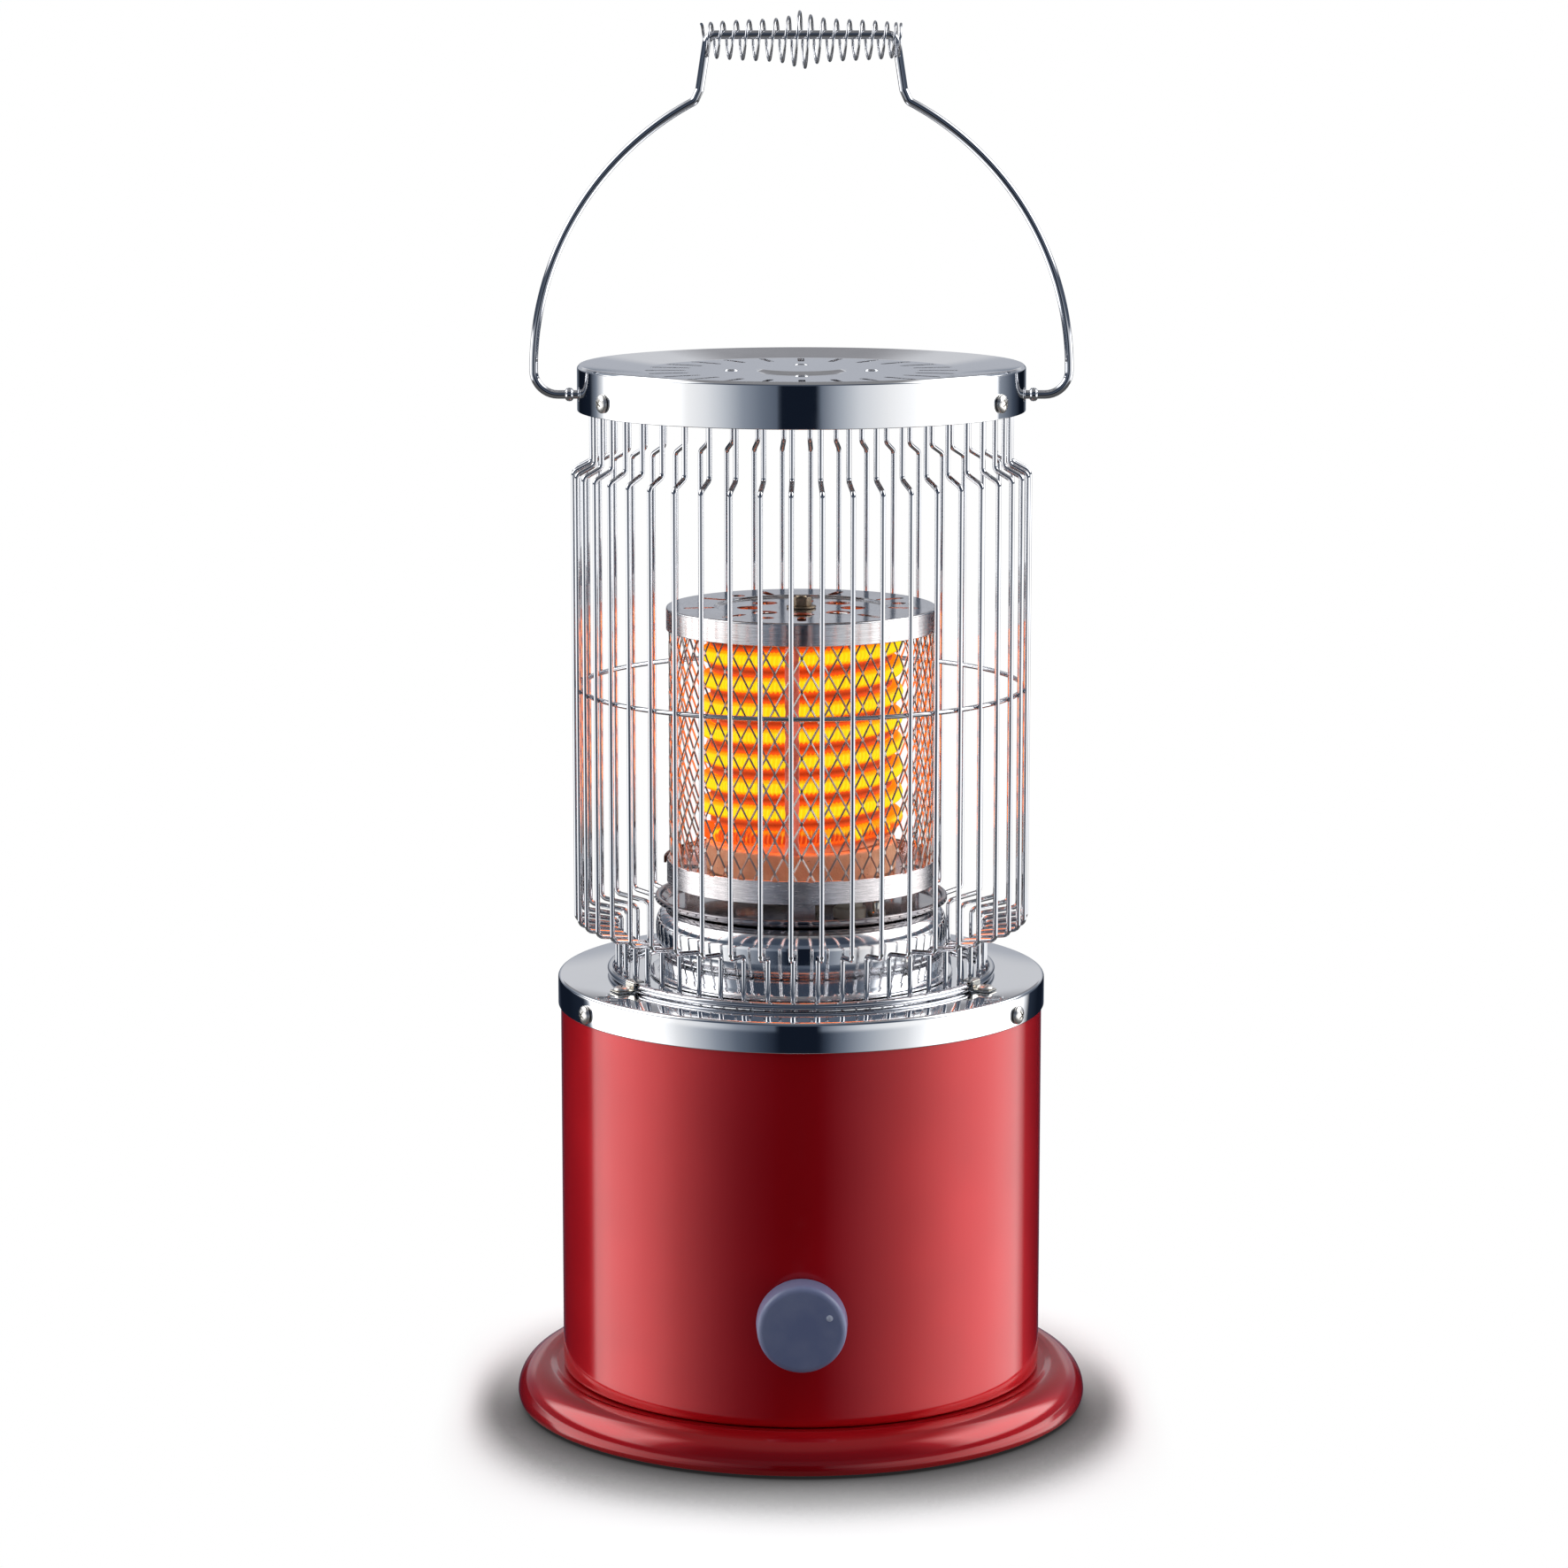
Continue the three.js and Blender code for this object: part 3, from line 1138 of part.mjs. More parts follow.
const blockTop = plateTop + clearance + block.height;
const tabPlace = switchBack - rotary.tabLength - lead.radius;
const tabTop = knob.height + rotary.tabPlace + lead.radius + clearance;
add('lead_wire_1', downLead(0, vector(0, -tabPlace, tabTop)), sheath);
add('lead_wire_2', downLead(1, vector(0, block.place, blockTop + lead.radius + clearance)), sheath);

export default heater;
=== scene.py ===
"""Looks of a ceramic radiant heater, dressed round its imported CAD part.

Sizes are in millimetres with the floor at zero, +Z up and the knob towards -Y. An azimuth is in
degrees, zero at the front and growing towards +X. Meshes go into Blender in metres.
"""

import logging
import math
from collections.abc import Callable, Sequence
from dataclasses import dataclass
from enum import Enum
from functools import cache
from typing import Any

import bmesh
import bpy
from bpy.types import Material, Node, NodeSocket, NodeTree, Object
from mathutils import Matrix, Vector

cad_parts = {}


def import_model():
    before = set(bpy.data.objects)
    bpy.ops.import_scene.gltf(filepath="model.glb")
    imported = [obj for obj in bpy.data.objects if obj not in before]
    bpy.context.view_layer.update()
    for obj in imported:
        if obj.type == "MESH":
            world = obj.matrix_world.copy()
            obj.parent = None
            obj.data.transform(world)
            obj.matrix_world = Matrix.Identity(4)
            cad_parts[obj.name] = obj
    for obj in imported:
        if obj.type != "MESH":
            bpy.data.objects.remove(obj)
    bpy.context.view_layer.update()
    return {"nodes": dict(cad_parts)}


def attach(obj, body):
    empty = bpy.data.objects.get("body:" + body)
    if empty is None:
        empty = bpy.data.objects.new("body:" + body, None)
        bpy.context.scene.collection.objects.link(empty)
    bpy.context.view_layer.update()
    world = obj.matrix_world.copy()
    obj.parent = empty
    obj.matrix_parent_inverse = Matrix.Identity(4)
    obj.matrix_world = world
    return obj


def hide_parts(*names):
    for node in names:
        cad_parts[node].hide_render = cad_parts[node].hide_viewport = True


log = logging.getLogger("heater")

Colour = tuple[float, float, float, float]
Point = tuple[float, float]

MM = 0.001
SHEET = 1.0
FINE_SHEET = 0.8
CLEARANCE = 0.3

# Shared measures and mounting circles, in millimetres and degrees
COVER_TOP = 222.3
STAND_OFF_CIRCLE = 51.9
STAND_OFF_AZIMUTHS = (27.6, 177.6)
STUD_CIRCLE = 59.3
STUD_AZIMUTHS = (39.2, 189.2)
FIRST_CLIP = 61.08
FIRST_ROW = 299.3
ROW_PITCH = 12.786
CAP_RADIUS = 111.8
PIVOT_HEIGHT = 515.537
SHAFT_HEIGHT = 72.5
GLAND_HEIGHT = 46.0

WHITE = (1.0, 1.0, 1.0, 1.0)
BLACK = (0.0, 0.0, 0.0, 1.0)
UP = Vector((0, 0, 1))


class Body(Enum):
    """The bodies that pieces ride on."""

    HEATER = "heater"
    BAIL = "bail"
    KNOB = "knob"


class Slot(Enum):
    """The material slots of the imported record."""

    ENAMEL = "red_enamel"
    CHROME = "chrome"
    STEEL = "brushed_steel"
    NICKEL = "nickel"
    COIL = "glowing_coil"
    CERAMIC = "ceramic"
    PORCELAIN = "porcelain"
    BLUE_PLASTIC = "blue_plastic"
    RUBBER = "rubber"


class Faces(Enum):
    """How many flats stand for a full turn."""

    WIDE = 240
    MEDIUM = 160
    SMALL = 48
    TINY = 20
    WIRE = 12


# Geometry


def srgb(red: int, green: int, blue: int) -> Colour:
    """Turns a colour as a screen shows it into linear light.

    Args:
        red: Red from 0 to 255.
        green: Green from 0 to 255.
        blue: Blue from 0 to 255.

    Returns:
        The linear colour with full alpha.
    """
    shares = (value / 255 for value in (red, green, blue))
    linear = [s / 12.92 if s <= 0.04045 else ((s + 0.055) / 1.055) ** 2.4 for s in shares]
    return (*linear, 1.0)


def polar(radius: float, azimuth: float, height: float) -> Vector:
    """Finds a point from its distance to the middle axis, its azimuth and its height."""
    turn = math.radians(azimuth)
    return Vector((radius * math.sin(turn), -radius * math.cos(turn), height))


def spread(count: int, first: float = 0.0) -> list[float]:
    """Lists azimuths that share a full turn evenly, from the first one on."""
    return [first + 360 * i / count for i in range(count)]


def soften(
    points: Sequence[Vector], radii: float | Sequence[float], steps: int = 5, loop: bool = False,
) -> list[Vector]:
    """Rounds the corners of a path.

    Args:
        points: Corners of the path.
        radii: One radius for all corners, or one for each.
        steps: Straight pieces of each arc.
        loop: Whether the path closes on itself.

    Returns:
        The path with an arc in place of each corner that has a radius.
    """
    count = len(points)
    each = list(radii) if isinstance(radii, Sequence) else [radii] * count
    result: list[Vector] = []
    for i, (point, radius) in enumerate(zip(points, each)):
        is_end = not loop and i in (0, count - 1)
        before, after = points[i - 1] - point, points[(i + 1) % count] - point
        if radius <= 0 or is_end or min(before.length, after.length) < 1e-6:
            result.append(point.copy())
            continue
        half = before.angle(after) / 2
        if half > math.pi / 2 - 0.01:
            result.append(point.copy())
            continue
        reach = min(radius / math.tan(half), 0.49 * before.length, 0.49 * after.length)
        before.normalize()
        after.normalize()
        centre = point + (before + after).normalized() * (reach / math.cos(half))
        start, end = point + before * reach - centre, point + after * reach - centre
        turn = start.angle(end)
        for k in range(steps + 1):
            share = k / steps
            spoke = math.sin((1 - share) * turn) * start + math.sin(share * turn) * end
            result.append(centre + spoke / math.sin(turn))
    return result


def profile(corners: Sequence[tuple[float, ...]], steps: int = 5, loop: bool = True) -> list[Vector]:
    """Makes the outline of a turned piece.

    Args:
        corners: Radius and height of each corner, with its rounding as a third number if it has one.
        steps: Straight pieces of each rounded corner.
        loop: Whether the outline closes on itself.

    Returns:
        The outline as points in the plane of X and Z.
    """
    points = [Vector((corner[0], 0, corner[1])) for corner in corners]
    radii = [corner[2] if len(corner) > 2 else 0.0 for corner in corners]
    return soften(points, radii, steps, loop)


def arc(centre: Point, reach: Point, first: float, last: float, steps: int) -> list[tuple[float, float]]:
    """Lists points on an arc of an ellipse, for use among a profile's corners.

    Args:
        centre: Radius and height of the middle.
        reach: Half axes along radius and height.
        first: First angle in degrees, zero outward and 90 up.
        last: Last angle in degrees.
        steps: Straight pieces.

    Returns:
        Radius and height of each point.
    """
    turns = [math.radians(first + (last - first) * i / steps) for i in range(steps + 1)]
    return [(centre[0] + reach[0] * math.cos(t), centre[1] + reach[1] * math.sin(t)) for t in turns]


class Sketch:
    """Corners and faces of one piece, gathered in millimetres."""

    def __init__(self) -> None:
        """Starts with no corners."""
        self.corners: list[Vector] = []
        self.faces: list[tuple[int, ...]] = []

    def add(self, corners: Sequence[Vector], faces: Sequence[Sequence[int]]) -> "Sketch":
        """Adds corners, and faces that count from the first of them."""
        start = len(self.corners)
        self.corners.extend(corners)
        self.faces.extend(tuple(start + i for i in face) for face in faces)
        return self

    def grid(self, rows: Sequence[Sequence[Vector]], around: bool = True, loop: bool = False) -> "Sketch":
        """Adds a net of quads.

        Args:
            rows: Rings or rows of points, all as long.
            around: Whether each row closes on itself.
            loop: Whether the last row meets the first.

        Returns:
            This sketch.
        """
        count = len(rows[0])
        faces = []
        for r in range(len(rows) - (0 if loop else 1)):
            high = (r + 1) % len(rows)
            for k in range(count - (0 if around else 1)):
                side = (k + 1) % count
                faces.append((r * count + k, r * count + side, high * count + side, high * count + k))
        return self.add([point for row in rows for point in row], faces)

    def bar(self, rows: Sequence[Sequence[Vector]]) -> "Sketch":
        """Adds a net of quads round a bar, and closes the bar's two ends.

        Args:
            rows: Rings of points from one end to the other, all as long.

        Returns:
            This sketch.
        """
        count, start = len(rows[0]), len(self.corners)
        self.grid(rows)
        end = len(self.corners)
        self.faces.append(tuple(range(start, start + count)))
        self.faces.append(tuple(range(end - count, end)))
        return self

    def lathe(self, outline: Sequence[Vector], faces: Faces = Faces.WIDE, loop: bool = True) -> "Sketch":
        """Turns an outline round the vertical axis.

        Args:
            outline: Points whose X is the radius.
            faces: Flats in a full turn.
            loop: Whether the outline closes on itself.

        Returns:
            This sketch.
        """
        rows = [[polar(point.x, azimuth, point.z) for azimuth in spread(faces.value)] for point in outline]
        return self.grid(rows, loop=loop)

    def tube(
        self, path: Sequence[Vector], radius: float | Sequence[float], sides: int = Faces.WIRE.value,
        loop: bool = False,
    ) -> "Sketch":
        """Sweeps a round section along a path, without twist.

        Args:
            path: Points of the middle line.
            radius: One radius, or one for each point.
            sides: Flats round the section.
            loop: Whether the path closes on itself.

        Returns:
            This sketch.
        """
        count = len(path)
        radii = list(radius) if isinstance(radius, Sequence) else [radius] * count
        ways = []
        for i in range(count):
            before = path[i - 1] if loop or i else path[0]
            after = path[(i + 1) % count] if loop or i < count - 1 else path[-1]
            ways.append((after - before).normalized())
        side = ways[0].orthogonal().normalized()
        rows = []
        for point, way, reach in zip(path, ways, radii):
            side = (side - way * side.dot(way)).normalized()
            across = way.cross(side)
            turns = [2 * math.pi * k / sides for k in range(sides)]
            rows.append([point + reach * (math.cos(t) * side + math.sin(t) * across) for t in turns])
        return self.grid(rows, loop=True) if loop else self.bar(rows)

    def prism(self, outline: Sequence[Point], low: float, high: float) -> "Sketch":
        """Adds an upright prism on an outline of X and Y between two heights."""
        return self.bar([[Vector((x, y, height)) for x, y in outline] for height in (low, high)])

    def turned(self, azimuth: float) -> "Sketch":
        """Turns all that is there round the vertical axis."""
        cos, sin = math.cos(math.radians(azimuth)), math.sin(math.radians(azimuth))
        self.corners = [Vector((p.x * cos - p.y * sin, p.x * sin + p.y * cos, p.z)) for p in self.corners]
        return self

    def placed(self, point: Vector, direction: Vector) -> "Sketch":
        """Points what was made along +Z in a direction, from a seat."""
        turn = UP.rotation_difference(direction)
        self.corners = [turn @ corner + point for corner in self.corners]
        return self

    def merge(self, other: "Sketch") -> "Sketch":
        """Adds all of another sketch."""
        return self.add(other.corners, other.faces)

    def build(self, name: str, crease: float = 32.0, weld: float = 0.002) -> Object:
        """Makes the object.

        Args:
            name: Name of the piece.
            crease: Angle in degrees from which an edge stays sharp.
            weld: Distance in millimetres at which corners become one.

        Returns:
            The new object, linked into the scene.
        """
        mesh = bpy.data.meshes.new(name)
        mesh.from_pydata([corner * MM for corner in self.corners], [], self.faces)
        work = bmesh.new()
        work.from_mesh(mesh)
        bmesh.ops.remove_doubles(work, verts=work.verts, dist=weld * MM)
        bmesh.ops.dissolve_degenerate(work, edges=work.edges, dist=weld * MM / 2)
        bmesh.ops.recalc_face_normals(work, faces=work.faces)
        work.to_mesh(mesh)
        work.free()
        mesh.shade_smooth()
        mesh.set_sharp_from_angle(angle=math.radians(crease))
        piece = bpy.data.objects.new(name, mesh)
        bpy.context.scene.collection.objects.link(piece)
        return piece


def round_slot(length: float, width: float, steps: int = 6) -> list[Point]:
    """Outlines a slot with round ends, its length along Y and its middle at zero.

    Args:
        length: Length over the round ends.
        width: Width, which is also the ends' diameter.
        steps: Faces of each end.

    Returns:
        The outline.
    """
    half, reach = width / 2, max(length - width, 0) / 2
    turns = [math.pi * k / steps for k in range(steps + 1)]
    far = [(half * math.cos(t), reach + half * math.sin(t)) for t in turns]
    near = [(-half * math.cos(t), -reach - half * math.sin(t)) for t in turns]
    return far + near


def circle(radius: float, faces: int) -> list[Point]:
    """Outlines a round hole or disc."""
    return [(radius * math.cos(math.radians(a)), radius * math.sin(math.radians(a))) for a in spread(faces)]


def shifted(outline: Sequence[Point], x: float, y: float) -> list[Point]:
    """Moves an outline."""
    return [(px + x, py + y) for px, py in outline]


def carve(piece: Object, tools: Sketch, crease: float = 32.0) -> Object:
    """Cuts a sketch out of a piece.

    Args:
        piece: The piece to cut.
        tools: Closed shapes that don't meet each other.
        crease: Angle in degrees from which an edge stays sharp.

    Returns:
        The piece, with its mesh cut.
    """
    tool = tools.build(f"{piece.name}_tool")
    modifier = piece.modifiers.new("cut", "BOOLEAN")
    modifier.operation = "DIFFERENCE"
    modifier.solver = "MANIFOLD"
    modifier.object = tool
    shown = piece.evaluated_get(bpy.context.evaluated_depsgraph_get())
    mesh = bpy.data.meshes.new_from_object(shown)
    piece.modifiers.clear()
    piece.data = mesh
    bpy.data.objects.remove(tool)
    mesh.set_sharp_from_angle(angle=math.radians(crease))
    return piece


def settle_normals(piece: Object) -> Object:
    """Lets the large faces lead the shading, so that flat sheet stays flat beside its holes."""
    modifier = piece.modifiers.new("even_shading", "WEIGHTED_NORMAL")
    modifier.keep_sharp = True
    modifier.weight = 80
    return piece


# Node trees


class Canvas:
    """A node tree while it is being laid out."""

    def __init__(self, tree: NodeTree) -> None:
        """Takes the tree to add to."""
        self.tree = tree

    def feed(self, socket: NodeSocket, value: Any) -> None:
        """Links another socket to an input, or sets its value."""
        if isinstance(value, NodeSocket):
            self.tree.links.new(value, socket)
        else:
            socket.default_value = value

    def add(self, kind: str, inputs: dict[Any, Any] | None = None, **settings: Any) -> Node:
        """Adds a node.

        Args:
            kind: Blender's name of the node's type.
            inputs: Values or sockets for its inputs, by name or number.
            settings: Values for the node's own properties.

        Returns:
            The node.
        """
        node = self.tree.nodes.new(kind)
        for name, value in settings.items():
            setattr(node, name, value)
        for key, value in (inputs or {}).items():
            self.feed(node.inputs[key], value)
        return node

    def math(self, operation: str, a: Any, b: Any = 0.0, c: Any = 0.0, clamp: bool = False) -> NodeSocket:
        """Adds a sum on up to three values and gives its result."""
        node = self.add("ShaderNodeMath", {0: a, 1: b, 2: c}, operation=operation, use_clamp=clamp)
        return node.outputs[0]

    def span(
        self, value: Any, low: float, high: float, to_low: float = 0.0, to_high: float = 1.0,
    ) -> NodeSocket:
        """Maps a value smoothly from one span to another, held at its ends."""
        inputs = {"Value": value, "From Min": low, "From Max": high, "To Min": to_low, "To Max": to_high}
        return self.add("ShaderNodeMapRange", inputs, interpolation_type="SMOOTHSTEP").outputs["Result"]

    def blend(self, share: Any, first: Any, second: Any, how: str = "MIX") -> NodeSocket:
        """Blends two colours by a share."""
        node = self.add("ShaderNodeMix", data_type="RGBA", blend_type=how)
        for index, value in ((0, share), (6, first), (7, second)):
            self.feed(node.inputs[index], value)
        return node.outputs[2]

    def ramp(self, value: Any, stops: Sequence[tuple[float, Colour]]) -> NodeSocket:
        """Turns a value into a colour by stops.

        Args:
            value: Number from 0 to 1.
            stops: Places from 0 to 1, each with its colour.

        Returns:
            The colour.
        """
        node = self.add("ShaderNodeValToRGB", {"Fac": value})
        elements = node.color_ramp.elements
        while len(elements) < len(stops):
            elements.new(0.5)
        for element, (place, colour) in zip(elements, stops):
            element.position = place
            element.color = colour
        return node.outputs["Color"]

    def product(self, *values: Any) -> NodeSocket:
        """Multiplies two or more values."""
        result = values[0]
        for value in values[1:]:
            result = self.math("MULTIPLY", result, value)
        return result

    def length(self, vector: Any) -> NodeSocket:
        """Gives the length of a vector."""
        return self.add("ShaderNodeVectorMath", {0: vector}, operation="LENGTH").outputs["Value"]

    def radius(self, vector: Any) -> NodeSocket:
        """Gives a point's distance from the upright axis."""
        return self.length(self.stretched(vector, (1, 1, 0)))

    def place(self) -> NodeSocket:
        """Gives the point's own place on the object, in metres."""
        return self.add("ShaderNodeTexCoord").outputs["Object"]

    def split(self, vector: Any) -> tuple[NodeSocket, ...]:
        """Splits a vector in three."""
        node = self.add("ShaderNodeSeparateXYZ", {0: vector})
        return tuple(node.outputs[i] for i in range(3))

    def stretched(self, vector: Any, scale: tuple[float, float, float]) -> NodeSocket:
        """Scales a vector by axis."""
        return self.add("ShaderNodeMapping", {"Vector": vector, "Scale": scale}).outputs[0]

    def noise(self, vector: Any, scale: Any, detail: float = 3.0, roughness: float = 0.55) -> NodeSocket:
        """Adds cloudy noise from 0 to 1."""
        inputs = {"Vector": vector, "Scale": scale, "Detail": detail, "Roughness": roughness}
        return self.add("ShaderNodeTexNoise", inputs).outputs[0]

    def azimuth(self, vector: Any) -> NodeSocket:
        """Gives a point's azimuth in degrees, from -180 to 180."""
        x, y, _ = self.split(vector)
        back = self.math("MULTIPLY", y, -1.0)
        return self.math("DEGREES", self.math("ARCTAN2", x, back))

    def effect(self, group: NodeTree, **inputs: Any) -> Node:
        """Places a shared effect, with its inputs by name."""
        node = self.add("ShaderNodeGroup", node_tree=group)
        for name, value in inputs.items():
            self.feed(node.inputs[name.replace("_", " ").capitalize()], value)
        return node


class EffectCanvas(Canvas):
    """The node group of a shared effect while it is being laid out."""

    def __init__(self, name: str, inputs: dict[str, float], outputs: dict[str, str]) -> None:
        """Makes an empty group.

        Args:
            name: Name of the effect.
            inputs: Plain number inputs with their defaults.
            outputs: Outputs with their socket types.
        """
        super().__init__(bpy.data.node_groups.new(name, "ShaderNodeTree"))
        for label, value in inputs.items():
            socket = self.tree.interface.new_socket(name=label, in_out="INPUT", socket_type="NodeSocketFloat")
            socket.default_value = value
        for label, kind in outputs.items():
            self.tree.interface.new_socket(name=label, in_out="OUTPUT", socket_type=kind)
        self.inputs = self.tree.nodes.new("NodeGroupInput").outputs
        self.exit = self.tree.nodes.new("NodeGroupOutput")

    def give(self, **results: NodeSocket) -> NodeTree:
        """Links the results to the group's outputs and gives the group."""
        for name, value in results.items():
            self.feed(self.exit.inputs[name.capitalize()], value)
        return self.tree


VALUE = "NodeSocketFloat"
NORMAL = "NodeSocketVector"


@cache
def handling_marks() -> NodeTree:
    """Faint smears that dull a polished face in patches.

    Returns:
        A group with inputs Base, Spread and Scale and the output Roughness.
    """
    canvas = EffectCanvas(
        "handling_marks", {"Base": 0.05, "Spread": 0.05, "Scale": 18.0}, {"Roughness": VALUE},
    )
    cloud = canvas.noise(canvas.place(), canvas.inputs["Scale"], 5.0, 0.6)
    patch = canvas.span(cloud, 0.42, 0.72)
    rough = canvas.math("MULTIPLY_ADD", patch, canvas.inputs["Spread"], canvas.inputs["Base"])
    return canvas.give(roughness=rough)


@cache
def brushed_grain() -> NodeTree:
    """Fine scratches that run round the middle axis, as on spun or rolled sheet.

    Returns:
        A group with the input Depth and the outputs Value and Normal.
    """
    outputs = {"Value": VALUE, "Normal": NORMAL}
    canvas = EffectCanvas("brushed_grain", {"Depth": 0.1}, outputs)
    fineness = 2600.0
    place = canvas.place()
    _, _, height = canvas.split(place)
    turn = canvas.math("MULTIPLY", canvas.azimuth(place), 0.12)
    lines = canvas.add("ShaderNodeCombineXYZ", {
        0: canvas.math("MULTIPLY", canvas.radius(place), fineness),
        1: turn,
        2: canvas.math("MULTIPLY", height, fineness),
    }).outputs[0]
    grain = canvas.noise(lines, 1.0, 4.0, 0.65)
    bump = canvas.add(
        "ShaderNodeBump", {"Height": grain, "Strength": canvas.inputs["Depth"], "Distance": 0.0002},
    )
    return canvas.give(value=grain, normal=bump.outputs[0])


@cache
def coating_ripple() -> NodeTree:
    """The slight ripple of a sprayed or moulded skin.

    Returns:
        A group with inputs Scale and Depth and the output Normal.
    """
    canvas = EffectCanvas("coating_ripple", {"Scale": 260.0, "Depth": 0.05}, {"Normal": NORMAL})
    skin = canvas.noise(canvas.place(), canvas.inputs["Scale"], 2.0, 0.45)
    bump = canvas.add(
        "ShaderNodeBump", {"Height": skin, "Strength": canvas.inputs["Depth"], "Distance": 0.0005},
    )
    return canvas.give(normal=bump.outputs[0])


@cache
def edge_wear() -> NodeTree:
    """Where raised edges are rubbed.

    Returns:
        A group with inputs Amount and Scale and the output Mask.
    """
    canvas = EffectCanvas("edge_wear", {"Amount": 0.5, "Scale": 120.0}, {"Mask": VALUE})
    pointed = canvas.add("ShaderNodeNewGeometry").outputs["Pointiness"]
    edge = canvas.span(pointed, 0.53, 0.6)
    worn = canvas.span(canvas.noise(canvas.place(), canvas.inputs["Scale"], 4.0), 0.4, 0.7)
    return canvas.give(mask=canvas.product(edge, worn, canvas.inputs["Amount"]))


@cache
def settled_dust() -> NodeTree:
    """Thin dust on faces that look up.

    Returns:
        A group with inputs Amount and Scale and the output Mask.
    """
    canvas = EffectCanvas("settled_dust", {"Amount": 0.2, "Scale": 40.0}, {"Mask": VALUE})
    _, _, up = canvas.split(canvas.add("ShaderNodeNewGeometry").outputs["Normal"])
    level = canvas.span(up, 0.5, 1.0)
    patches = canvas.span(canvas.noise(canvas.place(), canvas.inputs["Scale"], 6.0, 0.7), 0.35, 0.75)
    return canvas.give(mask=canvas.product(level, patches, canvas.inputs["Amount"]))


@cache
def speckle() -> NodeTree:
    """Small dark grains in fired clay.

    Returns:
        A group with inputs Scale and Amount and the output Mask.
    """
    canvas = EffectCanvas("speckle", {"Scale": 620.0, "Amount": 0.7}, {"Mask": VALUE})
    cells = canvas.add("ShaderNodeTexVoronoi", {"Vector": canvas.place(), "Scale": canvas.inputs["Scale"]})
    spot = canvas.span(cells.outputs["Distance"], 0.2, 0.1)
    chosen = canvas.span(canvas.noise(canvas.place(), 330.0, 2.0), 0.56, 0.62)
    return canvas.give(mask=canvas.product(spot, chosen, canvas.inputs["Amount"]))


@cache
def row_offset() -> NodeTree:
    """How far above or below the middle of the nearest coil row a point lies.

    Returns:
        A group with inputs Start and Pitch, in metres, and the output Value, in millimetres.
    """
    canvas = EffectCanvas("row_offset", {"Start": 0.3, "Pitch": 0.0128}, {"Value": VALUE})
    place = canvas.place()
    _, _, height = canvas.split(place)
    climb = canvas.math(
        "MULTIPLY", canvas.math("DIVIDE", canvas.azimuth(place), 360.0), canvas.inputs["Pitch"],
    )
    above = canvas.math("SUBTRACT", canvas.math("SUBTRACT", height, canvas.inputs["Start"]), climb)
    half = canvas.math("MULTIPLY", canvas.inputs["Pitch"], 0.5)
    near = canvas.math("WRAP", above, half, canvas.math("MULTIPLY", half, -1.0))
    return canvas.give(value=canvas.math("MULTIPLY", canvas.math("ABSOLUTE", near), 1000.0))


# Finishes


@dataclass(frozen=True)
class Finish:
    """A finish that a material is made from."""

    name: str

    def material(self) -> Material:
        """Gives the material, made once."""
        known = bpy.data.materials.get(self.name)
        if known:
            return known
        material = bpy.data.materials.new(self.name)
        material.use_nodes = True
        canvas = Canvas(material.node_tree)
        canvas.tree.nodes.clear()
        shader = canvas.add("ShaderNodeBsdfPrincipled")
        canvas.add("ShaderNodeOutputMaterial", {"Surface": shader.outputs[0]})
        self.paint(canvas, shader)
        return material

    def paint(self, canvas: Canvas, shader: Node) -> None:
        """Lays out the nodes that feed the shader.

        Args:
            canvas: The material's tree.
            shader: Its Principled BSDF.
        """
        raise NotImplementedError


@dataclass(frozen=True)
class Enamel(Finish):
    """Stove enamel under a glossy clear coat."""

    colour: Colour = srgb(220, 24, 34)
    deep: Colour = srgb(209, 18, 28)
    rubbed: Colour = srgb(206, 62, 66)
    roughness: float = 0.3
    flake: float = 0.38
    coat_roughness: float = 0.045

    def paint(self, canvas: Canvas, shader: Node) -> None:
        """Lays out the enamel: cloudy depth, rubbed edges and a faint ripple.

        Args:
            canvas: The material's tree.
            shader: Its Principled BSDF.
        """
        cloud = canvas.span(canvas.noise(canvas.place(), 9.0, 2.0), 0.35, 0.7)
        base = canvas.blend(cloud, self.deep, self.colour)
        wear = canvas.effect(edge_wear(), amount=0.35).outputs["Mask"]
        canvas.feed(shader.inputs["Base Color"], canvas.blend(wear, base, self.rubbed))
        marks = canvas.effect(handling_marks(), base=self.roughness, spread=0.08, scale=14.0)
        canvas.feed(shader.inputs["Roughness"], marks.outputs["Roughness"])
        ripple = canvas.effect(coating_ripple(), scale=150.0, depth=0.02)
        canvas.feed(shader.inputs["Normal"], ripple.outputs["Normal"])
        shader.inputs["Metallic"].default_value = self.flake
        shader.inputs["Coat Weight"].default_value = 1.0
        shader.inputs["Coat Roughness"].default_value = self.coat_roughness
        shader.inputs["Specular IOR Level"].default_value = 0.0


